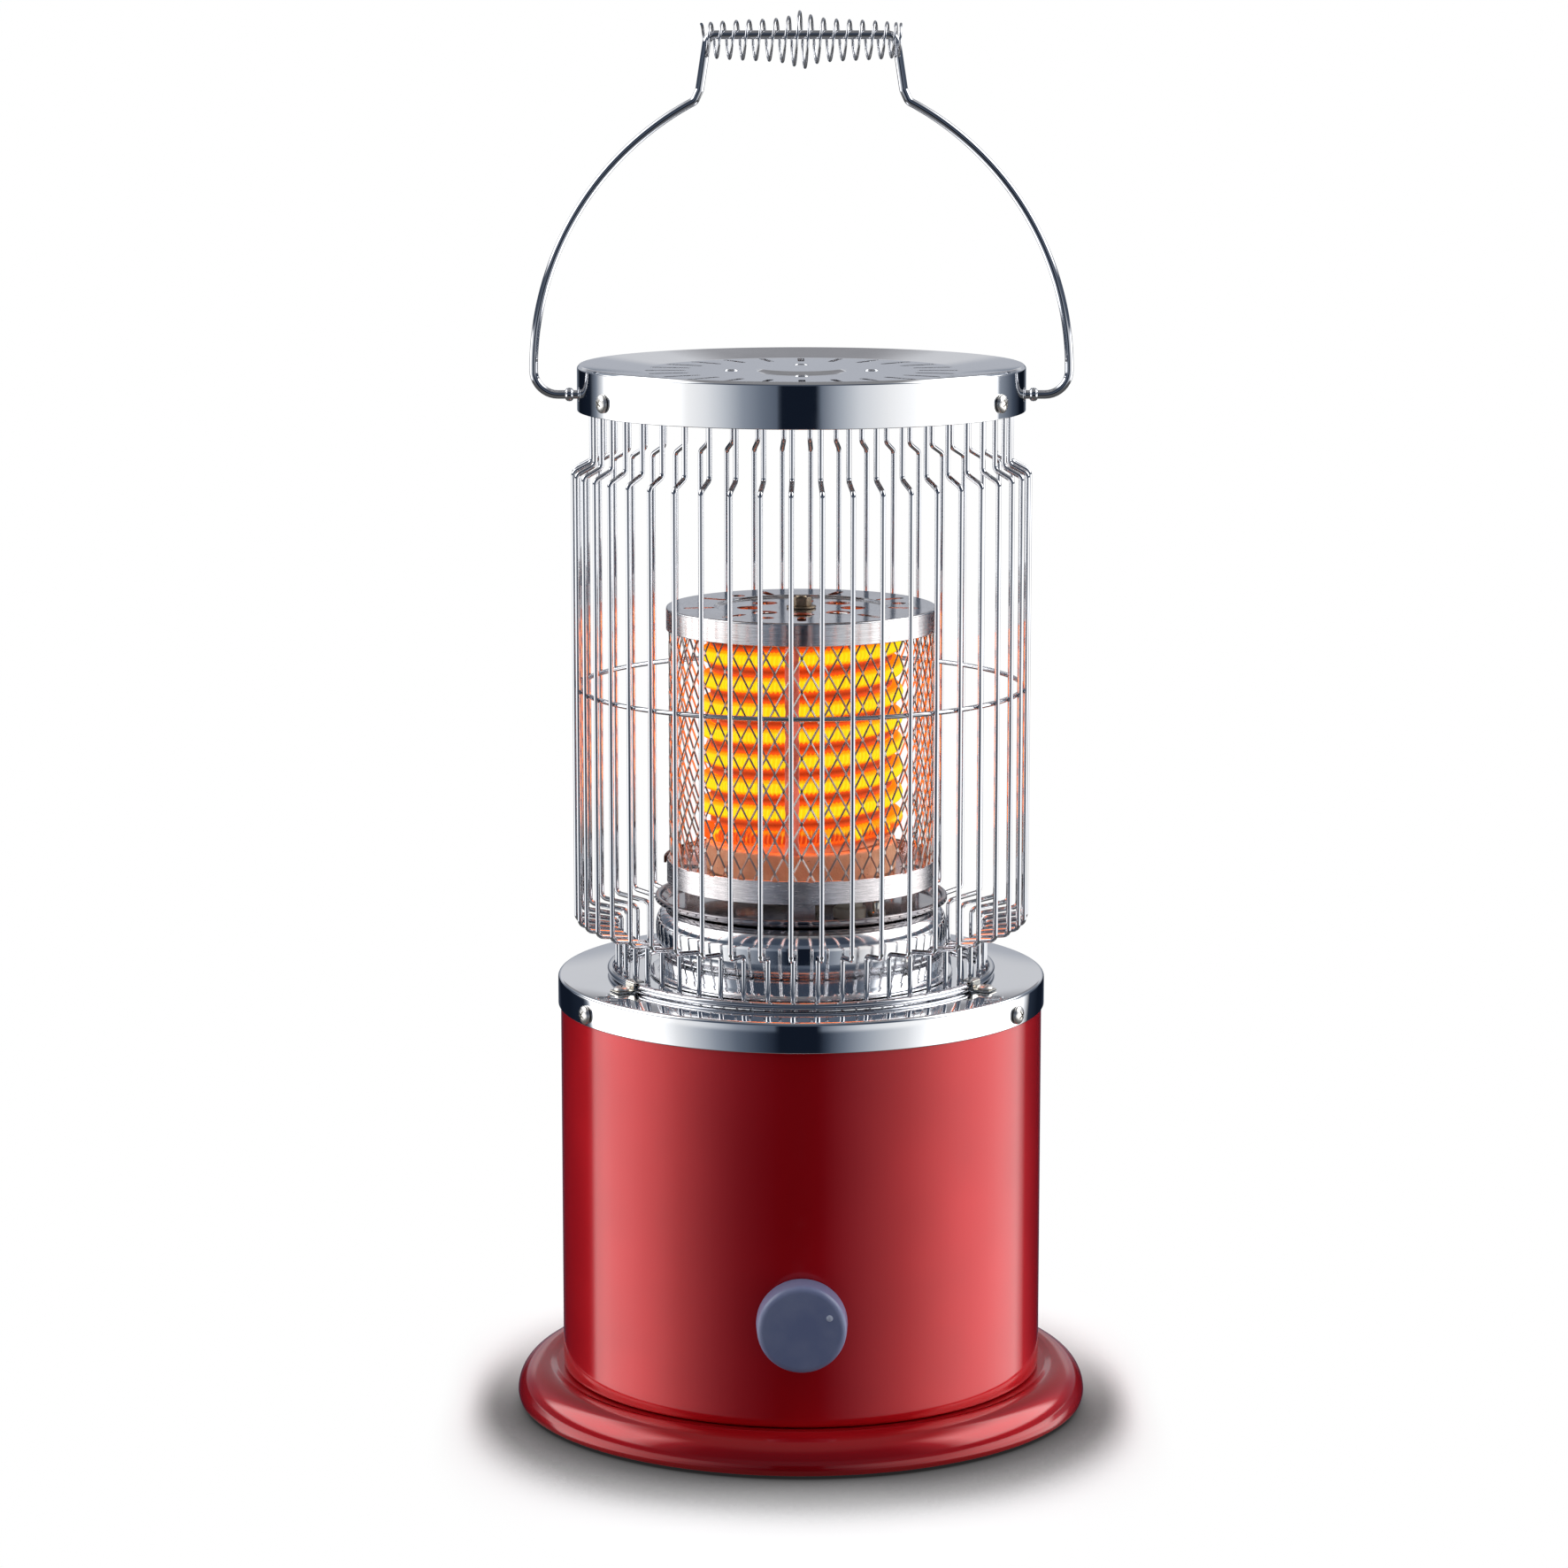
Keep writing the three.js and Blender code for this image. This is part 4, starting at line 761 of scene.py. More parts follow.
@dataclass(frozen=True)
class Chrome(Finish):
    """Polished chrome plate with faint smears."""

    colour: Colour = (0.86, 0.87, 0.89, 1.0)
    roughness: float = 0.035
    smears: float = 0.05
    dust: float = 0.0
    tint: Colour = (0.72, 0.6, 0.5, 1.0)
    tint_share: float = 0.0

    def paint(self, canvas: Canvas, shader: Node) -> None:
        """Lays out the plate: smears, a little dust and a warm tint in patches.

        Args:
            canvas: The material's tree.
            shader: Its Principled BSDF.
        """
        cloud = canvas.span(canvas.noise(canvas.place(), 26.0, 3.0), 0.45, 0.8)
        warm = canvas.math("MULTIPLY", cloud, self.tint_share)
        canvas.feed(shader.inputs["Base Color"], canvas.blend(warm, self.colour, self.tint))
        marks = canvas.effect(handling_marks(), base=self.roughness, spread=self.smears, scale=22.0)
        dust = canvas.effect(settled_dust(), amount=self.dust, scale=60.0).outputs["Mask"]
        rough = canvas.math("MULTIPLY_ADD", dust, 0.3, marks.outputs["Roughness"])
        canvas.feed(shader.inputs["Roughness"], rough)
        canvas.feed(shader.inputs["Metallic"], canvas.math("SUBTRACT", 1.0, dust))
        ripple = canvas.effect(coating_ripple(), scale=70.0, depth=0.012)
        canvas.feed(shader.inputs["Normal"], ripple.outputs["Normal"])


@dataclass(frozen=True)
class BrushedSheet(Finish):
    """Rolled or spun steel sheet, with grain and a heat tint in patches."""

    colour: Colour = (0.63, 0.6, 0.6, 1.0)
    tint: Colour = (0.42, 0.28, 0.2, 1.0)
    tint_share: float = 0.15
    roughness: float = 0.26
    side_haze: float = 0.0
    depth: float = 0.25

    def paint(self, canvas: Canvas, shader: Node) -> None:
        """Lays out the sheet: grain in colour, gloss and normal, and the tint.

        Args:
            canvas: The material's tree.
            shader: Its Principled BSDF.
        """
        grain = canvas.effect(brushed_grain(), depth=self.depth)
        cloud = canvas.span(canvas.noise(canvas.place(), 34.0, 4.0), 0.4, 0.75)
        tinted = canvas.blend(canvas.math("MULTIPLY", cloud, self.tint_share), self.colour, self.tint)
        shade = canvas.span(grain.outputs["Value"], 0.3, 0.75, 0.78, 1.12)
        grey = canvas.add("ShaderNodeCombineColor", {0: shade, 1: shade, 2: shade}).outputs[0]
        canvas.feed(shader.inputs["Base Color"], canvas.blend(1.0, tinted, grey, "MULTIPLY"))
        rough = canvas.math("MULTIPLY_ADD", grain.outputs["Value"], 0.14, self.roughness - 0.07)
        _, _, up = canvas.split(canvas.add("ShaderNodeNewGeometry").outputs["Normal"])
        side = canvas.span(canvas.math("ABSOLUTE", up), 0.7, 0.3)
        canvas.feed(shader.inputs["Roughness"], canvas.math("MULTIPLY_ADD", side, self.side_haze, rough))
        canvas.feed(shader.inputs["Normal"], grain.outputs["Normal"])
        shader.inputs["Metallic"].default_value = 1.0


@dataclass(frozen=True)
class Oxide(Finish):
    """Steel gone brown with heat."""

    colour: Colour = srgb(74, 40, 30)
    light: Colour = srgb(128, 84, 62)

    def paint(self, canvas: Canvas, shader: Node) -> None:
        """Lays out the brown skin and its lighter scale.

        Args:
            canvas: The material's tree.
            shader: Its Principled BSDF.
        """
        scale = canvas.span(canvas.noise(canvas.place(), 160.0, 5.0), 0.45, 0.72)
        canvas.feed(shader.inputs["Base Color"], canvas.blend(scale, self.colour, self.light))
        marks = canvas.effect(handling_marks(), base=0.38, spread=0.2, scale=90.0)
        canvas.feed(shader.inputs["Roughness"], marks.outputs["Roughness"])
        shader.inputs["Metallic"].default_value = 0.7


@dataclass(frozen=True)
class FiredClay(Finish):
    """Unglazed ceramic with a painted glow beside the coil."""

    colour: Colour = srgb(250, 210, 172)
    dark: Colour = srgb(232, 182, 142)
    upper_brown: Colour = srgb(150, 75, 37)
    under_plate_shade: Colour = srgb(46, 32, 26)
    grit: Colour = srgb(84, 52, 38)
    glow: Colour = srgb(240, 92, 30)
    glow_near: float = 4.0
    glow_far: float = 6.8
    glow_floor: float = 0.292
    glow_ceiling: float = 0.3985
    glow_inside: float = 0.04
    glow_strength: float = 0.5

    def paint(self, canvas: Canvas, shader: Node) -> None:
        """Lays out the clay: cloudy body, browner thread, grit, painted shade on its top, and a painted glow
        by each coil row.

        Args:
            canvas: The material's tree.
            shader: Its Principled BSDF.
        """
        place = canvas.place()
        _, _, height = canvas.split(place)
        cloud = canvas.span(canvas.noise(place, 120.0, 5.0), 0.35, 0.7)
        body = canvas.blend(cloud, self.dark, self.colour)
        grit = canvas.effect(speckle(), scale=560.0, amount=0.8).outputs["Mask"]
        # Browner above the collar, along the thread.
        above = canvas.span(height, self.glow_floor, self.glow_floor + 0.004)
        body = canvas.blend(above, body, self.upper_brown)
        # Painted shade: the clay's top under the plate is darkened to near black.
        topmost = canvas.span(height, self.glow_ceiling, self.glow_ceiling + 0.001)
        body = canvas.blend(topmost, body, self.under_plate_shade)
        canvas.feed(shader.inputs["Base Color"], canvas.blend(grit, body, self.grit))
        shader.inputs["Roughness"].default_value = 0.85
        skin = canvas.effect(coating_ripple(), scale=900.0, depth=0.35)
        canvas.feed(shader.inputs["Normal"], skin.outputs["Normal"])
        # Painted glow: emission in a halo next to each coil row stands in for the coil's light on the clay.
        near = canvas.effect(row_offset(), start=FIRST_ROW * MM, pitch=ROW_PITCH * MM).outputs["Value"]
        halo = canvas.span(near, self.glow_far, self.glow_near)
        below = canvas.span(height, self.glow_ceiling + 0.001, self.glow_ceiling)
        outside = canvas.span(canvas.radius(place), self.glow_inside - 0.002, self.glow_inside)
        share = canvas.product(halo, above, below, outside)
        canvas.feed(shader.inputs["Emission Color"], canvas.blend(share, BLACK, self.glow))
        shader.inputs["Emission Strength"].default_value = self.glow_strength


@dataclass(frozen=True)
class GlowingRib(Finish):
    """A ceramic rib with a painted glow, standing in for the coil's light through it."""

    colour: Colour = srgb(190, 122, 104)
    glow: Colour = srgb(236, 112, 92)
    dull: Colour = srgb(136, 74, 58)

    def paint(self, canvas: Canvas, shader: Node) -> None:
        """Lays out the rib: blotchy clay with a painted glow that comes and goes along it.

        Args:
            canvas: The material's tree.
            shader: Its Principled BSDF.
        """
        place = canvas.place()
        blotch = canvas.span(canvas.noise(place, 210.0, 4.0), 0.35, 0.68)
        canvas.feed(shader.inputs["Base Color"], canvas.blend(blotch, self.dull, self.colour))
        # Painted glow: the rib is no lamp; this emission stands in for the coil's light.
        long = canvas.span(
            canvas.noise(canvas.stretched(place, (1, 1, 0.5)), 150.0, 3.0), 0.3, 0.7, 0.35, 1.0,
        )
        canvas.feed(shader.inputs["Emission Color"], canvas.blend(long, BLACK, self.glow))
        shader.inputs["Emission Strength"].default_value = 0.72
        skin = canvas.effect(coating_ripple(), scale=700.0, depth=0.3)
        canvas.feed(shader.inputs["Normal"], skin.outputs["Normal"])
        shader.inputs["Roughness"].default_value = 0.7


@dataclass(frozen=True)
class HotWire(Finish):
    """Resistance wire at full heat, redder at the edges of each row and in the lowest row."""

    middle: Colour = srgb(234, 232, 18)
    side: Colour = srgb(248, 164, 0)
    edge: Colour = srgb(232, 66, 12)
    cold: Colour = srgb(236, 84, 14)
    wire: Colour = (0.12, 0.06, 0.02, 1.0)
    middle_to: float = 1.6
    side_at: float = 3.2
    edge_at: float = 4.4
    cold_low: float = 0.3045
    cold_high: float = 0.3085
    cast: float = 3.3
    cast_colour: Colour = srgb(250, 118, 38)

    def paint(self, canvas: Canvas, shader: Node) -> None:
        """Lays out the glow by how far each point is from the middle of its row.

        Args:
            canvas: The material's tree.
            shader: Its Principled BSDF.
        """
        near = canvas.effect(row_offset(), start=FIRST_ROW * MM, pitch=ROW_PITCH * MM).outputs["Value"]
        inner = canvas.span(near, self.middle_to, self.side_at)
        outer = canvas.span(near, self.side_at, self.edge_at)
        hot = canvas.blend(outer, canvas.blend(inner, self.middle, self.side), self.edge)
        place = canvas.place()
        _, _, height = canvas.split(place)
        wander = canvas.math("MULTIPLY_ADD", canvas.noise(place, 60.0, 2.0), 0.008, height)
        cold = canvas.span(wander, self.cold_high, self.cold_low)
        patchy = canvas.span(canvas.noise(canvas.stretched(place, (1, 1, 0.3)), 130.0, 2.0), 0.68, 0.56)
        share = canvas.math("MULTIPLY", cold, patchy)
        seen = canvas.add("ShaderNodeLightPath").outputs["Is Camera Ray"]
        face = canvas.blend(share, hot, self.cold)
        canvas.feed(shader.inputs["Emission Color"], canvas.blend(seen, self.cast_colour, face))
        canvas.feed(
            shader.inputs["Emission Strength"],
            canvas.math("MULTIPLY_ADD", seen, 1.0 - self.cast, self.cast),
        )
        shader.inputs["Base Color"].default_value = self.wire
        shader.inputs["Roughness"].default_value = 0.6


@dataclass(frozen=True)
class Moulded(Finish):
    """Moulded plastic, rubber or glazed porcelain."""

    colour: Colour
    light: Colour
    roughness: float = 0.45
    ripple: float = 0.08
    scale: float = 900.0

    def paint(self, canvas: Canvas, shader: Node) -> None:
        """Lays out the skin: fine texture, rubbed edges and a slight change of colour.

        Args:
            canvas: The material's tree.
            shader: Its Principled BSDF.
        """
        cloud = canvas.span(canvas.noise(canvas.place(), 45.0, 3.0), 0.35, 0.75, 0.0, 0.35)
        wear = canvas.effect(edge_wear(), amount=0.5).outputs["Mask"]
        share = canvas.math("ADD", cloud, wear, clamp=True)
        canvas.feed(shader.inputs["Base Color"], canvas.blend(share, self.colour, self.light))
        marks = canvas.effect(handling_marks(), base=self.roughness, spread=0.12, scale=30.0)
        canvas.feed(shader.inputs["Roughness"], marks.outputs["Roughness"])
        skin = canvas.effect(coating_ripple(), scale=self.scale, depth=self.ripple)
        canvas.feed(shader.inputs["Normal"], skin.outputs["Normal"])


@dataclass(frozen=True)
class WovenSleeve(Finish):
    """Braided heat-proof sleeve."""

    colour: Colour = srgb(224, 220, 208)
    shade: Colour = srgb(168, 160, 146)

    def paint(self, canvas: Canvas, shader: Node) -> None:
        """Lays out the braid as crossed diagonal waves.

        Args:
            canvas: The material's tree.
            shader: Its Principled BSDF.
        """
        x, y, z = canvas.split(canvas.place())
        across = canvas.math("MULTIPLY", canvas.math("ADD", x, y), 5200.0)
        along = canvas.math("MULTIPLY", z, 4200.0)
        left = canvas.math("SINE", canvas.math("ADD", across, along))
        right = canvas.math("SINE", canvas.math("SUBTRACT", across, along))
        braid = canvas.math("MULTIPLY_ADD", canvas.math("MULTIPLY", left, right), 0.5, 0.5)
        canvas.feed(shader.inputs["Base Color"], canvas.blend(braid, self.shade, self.colour))
        bump = canvas.add("ShaderNodeBump", {"Height": braid, "Strength": 0.4, "Distance": 0.0003})
        canvas.feed(shader.inputs["Normal"], bump.outputs[0])
        shader.inputs["Roughness"].default_value = 0.85


ENAMEL = Enamel("red_stove_enamel")
# A darker copy of the drum's enamel on the flange: painted shade.
SHADED_FLANGE_ENAMEL = Enamel("shaded_red_flange_enamel", colour=srgb(184, 20, 30), deep=srgb(173, 15, 24))
CHROME = Chrome("polished_chrome")
CAP_CHROME = Chrome("cap_chrome", dust=0.04)
WIRE_CHROME = Chrome(
    "wire_chrome", colour=(0.66, 0.67, 0.7, 1.0), roughness=0.03, smears=0.05, tint_share=0.1,
)
HEATED_CHROME = Chrome("heated_chrome", roughness=0.06, smears=0.08, tint_share=0.35)
SHEET_STEEL = BrushedSheet("brushed_sheet", colour=(0.86, 0.82, 0.83, 1.0), roughness=0.25)
PLATE_STEEL = BrushedSheet(
    "core_plate_sheet", colour=(0.83, 0.82, 0.83, 1.0), roughness=0.1, side_haze=0.07, depth=0.08,
)
# Chrome darkened to a deep grey on the pan.
PAN_CHROME = Chrome("deep_grey_pan", colour=(0.27, 0.26, 0.28, 1.0), roughness=0.06, smears=0.06, tint_share=0.3)
BROWN_NICKEL = Chrome(
    "browned_nickel", colour=(0.36, 0.28, 0.2, 1.0), roughness=0.42, smears=0.12, tint_share=0.4,
)
HIDDEN_STEEL = BrushedSheet("plain_sheet", tint_share=0.05, roughness=0.34)
MESH_STEEL = Chrome(
    "mesh_steel", roughness=0.28, smears=0.1, colour=(0.5, 0.47, 0.45, 1.0), tint=(0.34, 0.2, 0.13, 1.0),
    tint_share=0.7,
)
NICKEL = Chrome("nickel_plate", roughness=0.14, smears=0.12, colour=(0.76, 0.73, 0.66, 1.0))
SCREW_NICKEL = Chrome("screw_nickel", roughness=0.3, smears=0.1, colour=(0.92, 0.9, 0.86, 1.0))
RIM_OXIDE = Oxide("heat_browned_rim")
CLAY = FiredClay("fired_clay")
RIB = GlowingRib("glowing_rib")
HOT_WIRE = HotWire("hot_wire")
HOT_HEART = HotWire(
    "hot_heart", middle=srgb(246, 214, 8), side=srgb(244, 156, 0), edge=srgb(214, 60, 10),
    cold=srgb(186, 40, 8),
)
PORCELAIN = Moulded("glazed_porcelain", srgb(206, 198, 180), srgb(230, 226, 214), 0.3, 0.03, 300.0)
KNOB_PLASTIC = Moulded("slate_knob", srgb(121, 130, 168), srgb(160, 166, 192), 0.38, 0.1)
DOT_PLASTIC = Moulded("pale_knob_dot", srgb(196, 202, 222), srgb(228, 232, 242), 0.3, 0.05)
DARK_PLASTIC = Moulded("black_plastic", srgb(36, 36, 40), srgb(74, 74, 78), 0.5, 0.1)
RUBBER = Moulded("black_rubber", srgb(26, 26, 28), srgb(60, 60, 62), 0.8, 0.2)
SLEEVE = WovenSleeve("braided_sleeve")


def dress(piece: Object, finish: Finish, slot: Slot, *nodes: str, body: Body = Body.HEATER) -> None:
    """Gives a piece its finish, its body and the CAD nodes that it stands for.

    Args:
        piece: The piece.
        finish: Its finish.
        slot: The record's slot that the finish belongs to; not used.
        nodes: CAD nodes that it replaces.
        body: The body that it rides on.
    """
    piece.data.materials.clear()
    piece.data.materials.append(finish.material())
    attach(piece, body.value)
    if nodes:
        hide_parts(*nodes)
    log.info("%s: %d faces", piece.name, len(piece.data.polygons))


# Sub-assemblies


@dataclass
class Base:
    """Flanged base, drum, chromed cover, bottom plate and feet."""

    lip_bottom: float = 1.6
    ledge_radius: float = 110.0
    ledge_top: float = 18.2
    valley_radius: float = 125.5
    crest_radius: float = 131.5
    crest_rise: float = 1.2
    flange_radius: float = 145.7
    widest: float = 4.0
    drum_radius: float = 122.2
    drum_bottom: float = 18.5
    drum_top: float = 221.0
    cover_radius: float = 123.5
    skirt_bottom: float = 207.0
    cover_opening: float = 62.0
    plate_bottom: float = 4.0
    plate_lip_top: float = 16.9
    dish_radius: float = 109.0
    foot_circle: float = 94.0
    foot_radius: float = 10.0

    def build(self) -> None:
        """Builds and dresses all of it."""
        self.flange()
        self.drum()
        self.cover()
        self.bottom_plate()
        self.feet()

    def flange(self) -> None:
        """Turns the flange: a flat ledge, a valley, a crest and the roll down to the lip."""
        crest = self.ledge_top + self.crest_rise
        roll = arc(
            (self.crest_radius, self.widest), (self.flange_radius - self.crest_radius, crest - self.widest),
            90, 0, 18,
        )
        inner_reach = (self.flange_radius - self.crest_radius - SHEET, crest - self.widest - SHEET)
        inner = arc((self.crest_radius, self.widest), inner_reach, 0, 90, 12)
        top = [
            (self.ledge_radius, self.ledge_top), (self.valley_radius, self.ledge_top, 4),
            (self.crest_radius - 2.5, crest - 0.15, 6),
        ]
        lip = [
            (self.flange_radius - 0.5, self.lip_bottom, 0.4),
            (self.flange_radius - 0.5 - SHEET, self.lip_bottom, 0.4),
        ]
        below = [(self.valley_radius, self.ledge_top - SHEET, 4), (self.ledge_radius, self.ledge_top - SHEET)]
        outline = profile([*top, *roll, *lip, *inner, *below], 6)
        dress(Sketch().lathe(outline).build("flange_skin"), SHADED_FLANGE_ENAMEL, Slot.ENAMEL, "base_flange")

    def drum(self) -> None:
        """Turns the drum's wall with its folded foot, and pierces it for the switch and the gland."""
        radius, low, high = self.drum_radius, self.drum_bottom, self.drum_top
        outline = profile([
            (self.ledge_radius, low), (radius, low, 1.6), (radius, high, 0.3), (radius - SHEET, high, 0.3),
            (radius - SHEET, low + SHEET, 0.8), (self.ledge_radius, low + SHEET),
        ], 6)
        wall = Sketch().lathe(outline).build("drum_skin")
        holes = Sketch()
        for hole, height, way in ((5.0, SHAFT_HEIGHT, -1), (7.3, GLAND_HEIGHT, 1)):
            tool = Sketch().prism(circle(hole, 32), -4, 4)
            holes.merge(tool.placed(Vector((0, way * radius, height)), Vector((0, way, 0))))
        dress(settle_normals(carve(wall, holes)), ENAMEL, Slot.ENAMEL, "drum_shell")

    def cover(self) -> None:
        """Turns the chromed cover, with a rolled corner and a hemmed lower edge."""
        radius, top, low = self.cover_radius, COVER_TOP, self.skirt_bottom
        outline = profile([
            (self.cover_opening, top - SHEET, 0.4), (radius - SHEET, top - SHEET, 0.6),
            (radius - SHEET, low, 0.3), (radius, low, 0.45), (radius, top, 1.7),
            (self.cover_opening, top, 0.4),
        ], 6)
        dress(Sketch().lathe(outline).build("cover_skin"), CHROME, Slot.CHROME, "base_cover")

    def bottom_plate(self) -> None:
        """Turns the dished plate under the drum and cuts its vents."""
        low, lip, dish = self.plate_bottom, self.plate_lip_top, self.dish_radius
        outline = profile([
            (0, low), (dish, low, 2.2), (dish, lip - SHEET, 1.2), (dish + 11, lip - SHEET),
            (dish + 11, lip), (dish - SHEET, lip, 2), (dish - SHEET, low + SHEET, 1.2), (0, low + SHEET),
        ], 5, loop=False)
        plate = Sketch().lathe(outline, loop=False).build("bottom_plate_skin")
        vents = Sketch()
        for azimuth in spread(8):
            vents.merge(Sketch().prism(shifted(round_slot(34, 5), 0, -62), low - 3, low + 4).turned(azimuth))
        dress(carve(plate, vents), HIDDEN_STEEL, Slot.STEEL, "bottom_plate")

    def feet(self) -> None:
        """Turns four rubber feet with a grooved sole."""
        for index, azimuth in enumerate(spread(4, 45)):
            outline = profile([
                (0, 0.6), (5.2, 0.6), (6, 0, 0.3), (self.foot_radius - 0.6, 0, 0.6),
                (self.foot_radius, 3.7, 0.8), (2.8, 3.7), (2.8, 5.3), (4.2, 5.3, 0.3), (2.8, 7.7, 0.4),
                (0, 7.7),
            ], 4, loop=False)
            foot = Sketch().lathe(outline, Faces.SMALL, loop=False).placed(
                polar(self.foot_circle, azimuth, 0), UP,
            )
            dress(foot.build(f"foot_pad_{index + 1}"), RUBBER, Slot.RUBBER, f"foot_{index + 1}")


@dataclass
class Pedestal:
    """Spun pedestal and the shallow pan on it, with legs, stand-offs and terminal studs."""

    bottom: float = 222.6
    top: float = 257.6
    foot_radius: float = 77.0
    waist: float = 71.6
    belly: float = 73.8
    belly_height: float = 24.4
    shoulder: float = 65.5
    opening: float = 57.0
    pan_floor_radius: float = 68.5
    pan_radius: float = 74.1
    pan_height: float = 4.8
    leg_circle: float = 55.0
    leg_tab: float = 10.0
    leg_width: float = 13.4
    leg_height: float = 15.7
    leg_thickness: float = 1.2

    @property
    def pan_bottom(self) -> float:
        """Underside of the pan."""
        return self.top + CLEARANCE

    @property
    def leg_bottom(self) -> float:
        """Height that the legs and stand-offs rest at."""
        return self.pan_bottom + SHEET + CLEARANCE

    def build(self) -> None:
        """Builds and dresses all of it."""
        self.stand()
        self.pan()
        self.legs()
        self.insulators()
        self.studs()

    def stand(self) -> None:
        """Turns the pedestal: a flat foot, a swelling wall and a round shoulder."""
        belly = self.bottom + self.belly_height
        start, swell = self.bottom + 2.4, self.belly - self.waist
        wall = [
            (self.waist + swell * math.sin(math.pi / 2 * share), start + (belly - start) * share)
            for share in (0.0, 0.15, 0.3, 0.45, 0.6, 0.75, 0.9)
        ]
        reach = (self.belly - self.shoulder, self.top - belly)
        outer = arc((self.shoulder, belly), reach, 0, 90, 12)
        inner = arc((self.shoulder, belly), (reach[0] - SHEET, reach[1] - SHEET), 90, 0, 10)
        outline = profile([
            (self.waist - SHEET, self.bottom), (self.foot_radius, self.bottom, 0.45),
            (self.foot_radius, self.bottom + SHEET, 0.45), (self.waist + 0.6, self.bottom + SHEET, 1.2),
            *wall, *outer, (self.opening, self.top), (self.opening, self.top - SHEET), *inner,
        ], 5)
        dress(Sketch().lathe(outline).build("pedestal_skin"), HEATED_CHROME, Slot.CHROME, "pedestal")

    def pan(self) -> None:
        """Turns the pan: a flat floor, a knee and a beaded rim."""
        low = self.pan_bottom
        high = low + self.pan_height
        floor, radius = self.pan_floor_radius, self.pan_radius
        outline = profile([
            (3.3, low), (floor, low, 2.2), (floor + 3.3, low + 1.9, 1.2), (radius, high - 3.0, 1),
            (radius, high, 1.1), (radius - 2.6, high, 1.1), (radius - 3.1, high - 1.9, 0.8),
            (floor - 0.5, low + SHEET, 2), (3.3, low + SHEET),
        ], 6)
        pan = Sketch().lathe(outline).build("pan_skin")
        holes = Sketch()
        for azimuth in STAND_OFF_AZIMUTHS:
            place = polar(STAND_OFF_CIRCLE, azimuth, 0)
            holes.prism(shifted(circle(1.9, 20), place.x, place.y), low - 2, low + 3)
        dress(settle_normals(carve(pan, holes)), PAN_CHROME, Slot.CHROME, "reflector_pan")

    def legs(self) -> None:
        """Bends three strap legs."""
        tab, height, thick = self.leg_tab, self.leg_height, self.leg_thickness
        corners = [
            (0, 0, 0), (tab, 0, 1.5), (tab, height, 1.5), (0, height, 0), (0, height - thick, 0),
            (tab - thick, height - thick, 0.4), (tab - thick, thick, 0.4), (0, thick, 0),
        ]
        outline = profile(corners, 4)
        for index, azimuth in enumerate(spread(3)):
            rows = [[Vector((side, -self.leg_circle - p.x, self.leg_bottom + p.z)) for p in outline]
                    for side in (-self.leg_width / 2, self.leg_width / 2)]
            strap = Sketch().bar(rows).turned(azimuth)
            dress(strap.build(f"leg_strap_{index + 1}"), SHEET_STEEL, Slot.STEEL, f"core_leg_{index + 1}")

    def insulators(self) -> None:
        """Turns two porcelain stand-offs, each with a grooved waist."""
        high = self.leg_height
        for index, azimuth in enumerate(STAND_OFF_AZIMUTHS):
            outline = profile([
                (2.2, 0, 0.4), (8.2, 0, 0.6), (8.2, 5, 0.8), (6.4, 5.8, 0.8), (6.4, high - 5.8, 0.8),
                (8.2, high - 5, 0.8), (8.2, high, 0.6), (2.2, high, 0.4),
            ], 5)
            piece = Sketch().lathe(outline, Faces.SMALL).placed(
                polar(STAND_OFF_CIRCLE, azimuth, self.leg_bottom), UP,
            )
            dress(piece.build(f"stand_off_{index + 1}"), PORCELAIN, Slot.PORCELAIN, f"insulator_{index + 1}")

    def studs(self) -> None:
        """Makes two terminal studs, each with a hexagon nut and a round washer."""
        for index, azimuth in enumerate(STUD_AZIMUTHS):
            piece = hexagon_nut(4.5, 0.5, 3.2, 0.0)
            washer = profile([(0, 0), (4.6, 0, 0.2), (4.6, 0.5, 0.2), (0, 0.5)], 3, loop=False)
            shank = profile([(0, 0.5), (2, 0.5), (2, 8, 0.4), (0, 8)], 3, loop=False)
            piece.lathe(washer, Faces.SMALL, loop=False).lathe(shank, Faces.TINY, loop=False)
            piece.placed(polar(STUD_CIRCLE, azimuth, self.leg_bottom), UP)
            dress(
                piece.build(f"stud_{index + 1}", weld=0.0005), NICKEL, Slot.NICKEL,
                f"terminal_stud_{index + 1}",
            )


def hexagon_nut(radius: float, low: float, high: float, bore: float) -> Sketch:
    """Sketches a hexagon nut with turned-off corners.

    Args:
        radius: Distance from the axis to a corner.
        low: Height of its seat.
        high: Height of its top.
        bore: Radius of its hole, or zero for none.

    Returns:
        The sketch, along +Z.
    """
    sides = 48
    flat = radius * math.cos(math.pi / 6)

    def ring(share: float, height: float) -> list[Vector]:
        """Lists the points of one level, held inside a cone at the corners.

        Args:
            share: Furthest that a corner reaches.
            height: Height of the level.

        Returns:
            The points.
        """
        points = []
        for azimuth in spread(sides):
            beside = math.radians((azimuth + 30) % 60 - 30)
            reach = min(flat / math.cos(beside), share)
            points.append(polar(reach, azimuth, height))
        return points

    chamfer = (radius - flat) * 0.6
    rows = [
        ring(flat, low), ring(radius, low + chamfer), ring(radius, high - chamfer), ring(flat * 0.97, high),
    ]
    hole = max(bore, 0.001)
    levels = [[polar(hole, azimuth, height) for azimuth in spread(sides)] for height in (high, low)]
    return Sketch().grid([*rows, *levels], loop=True)


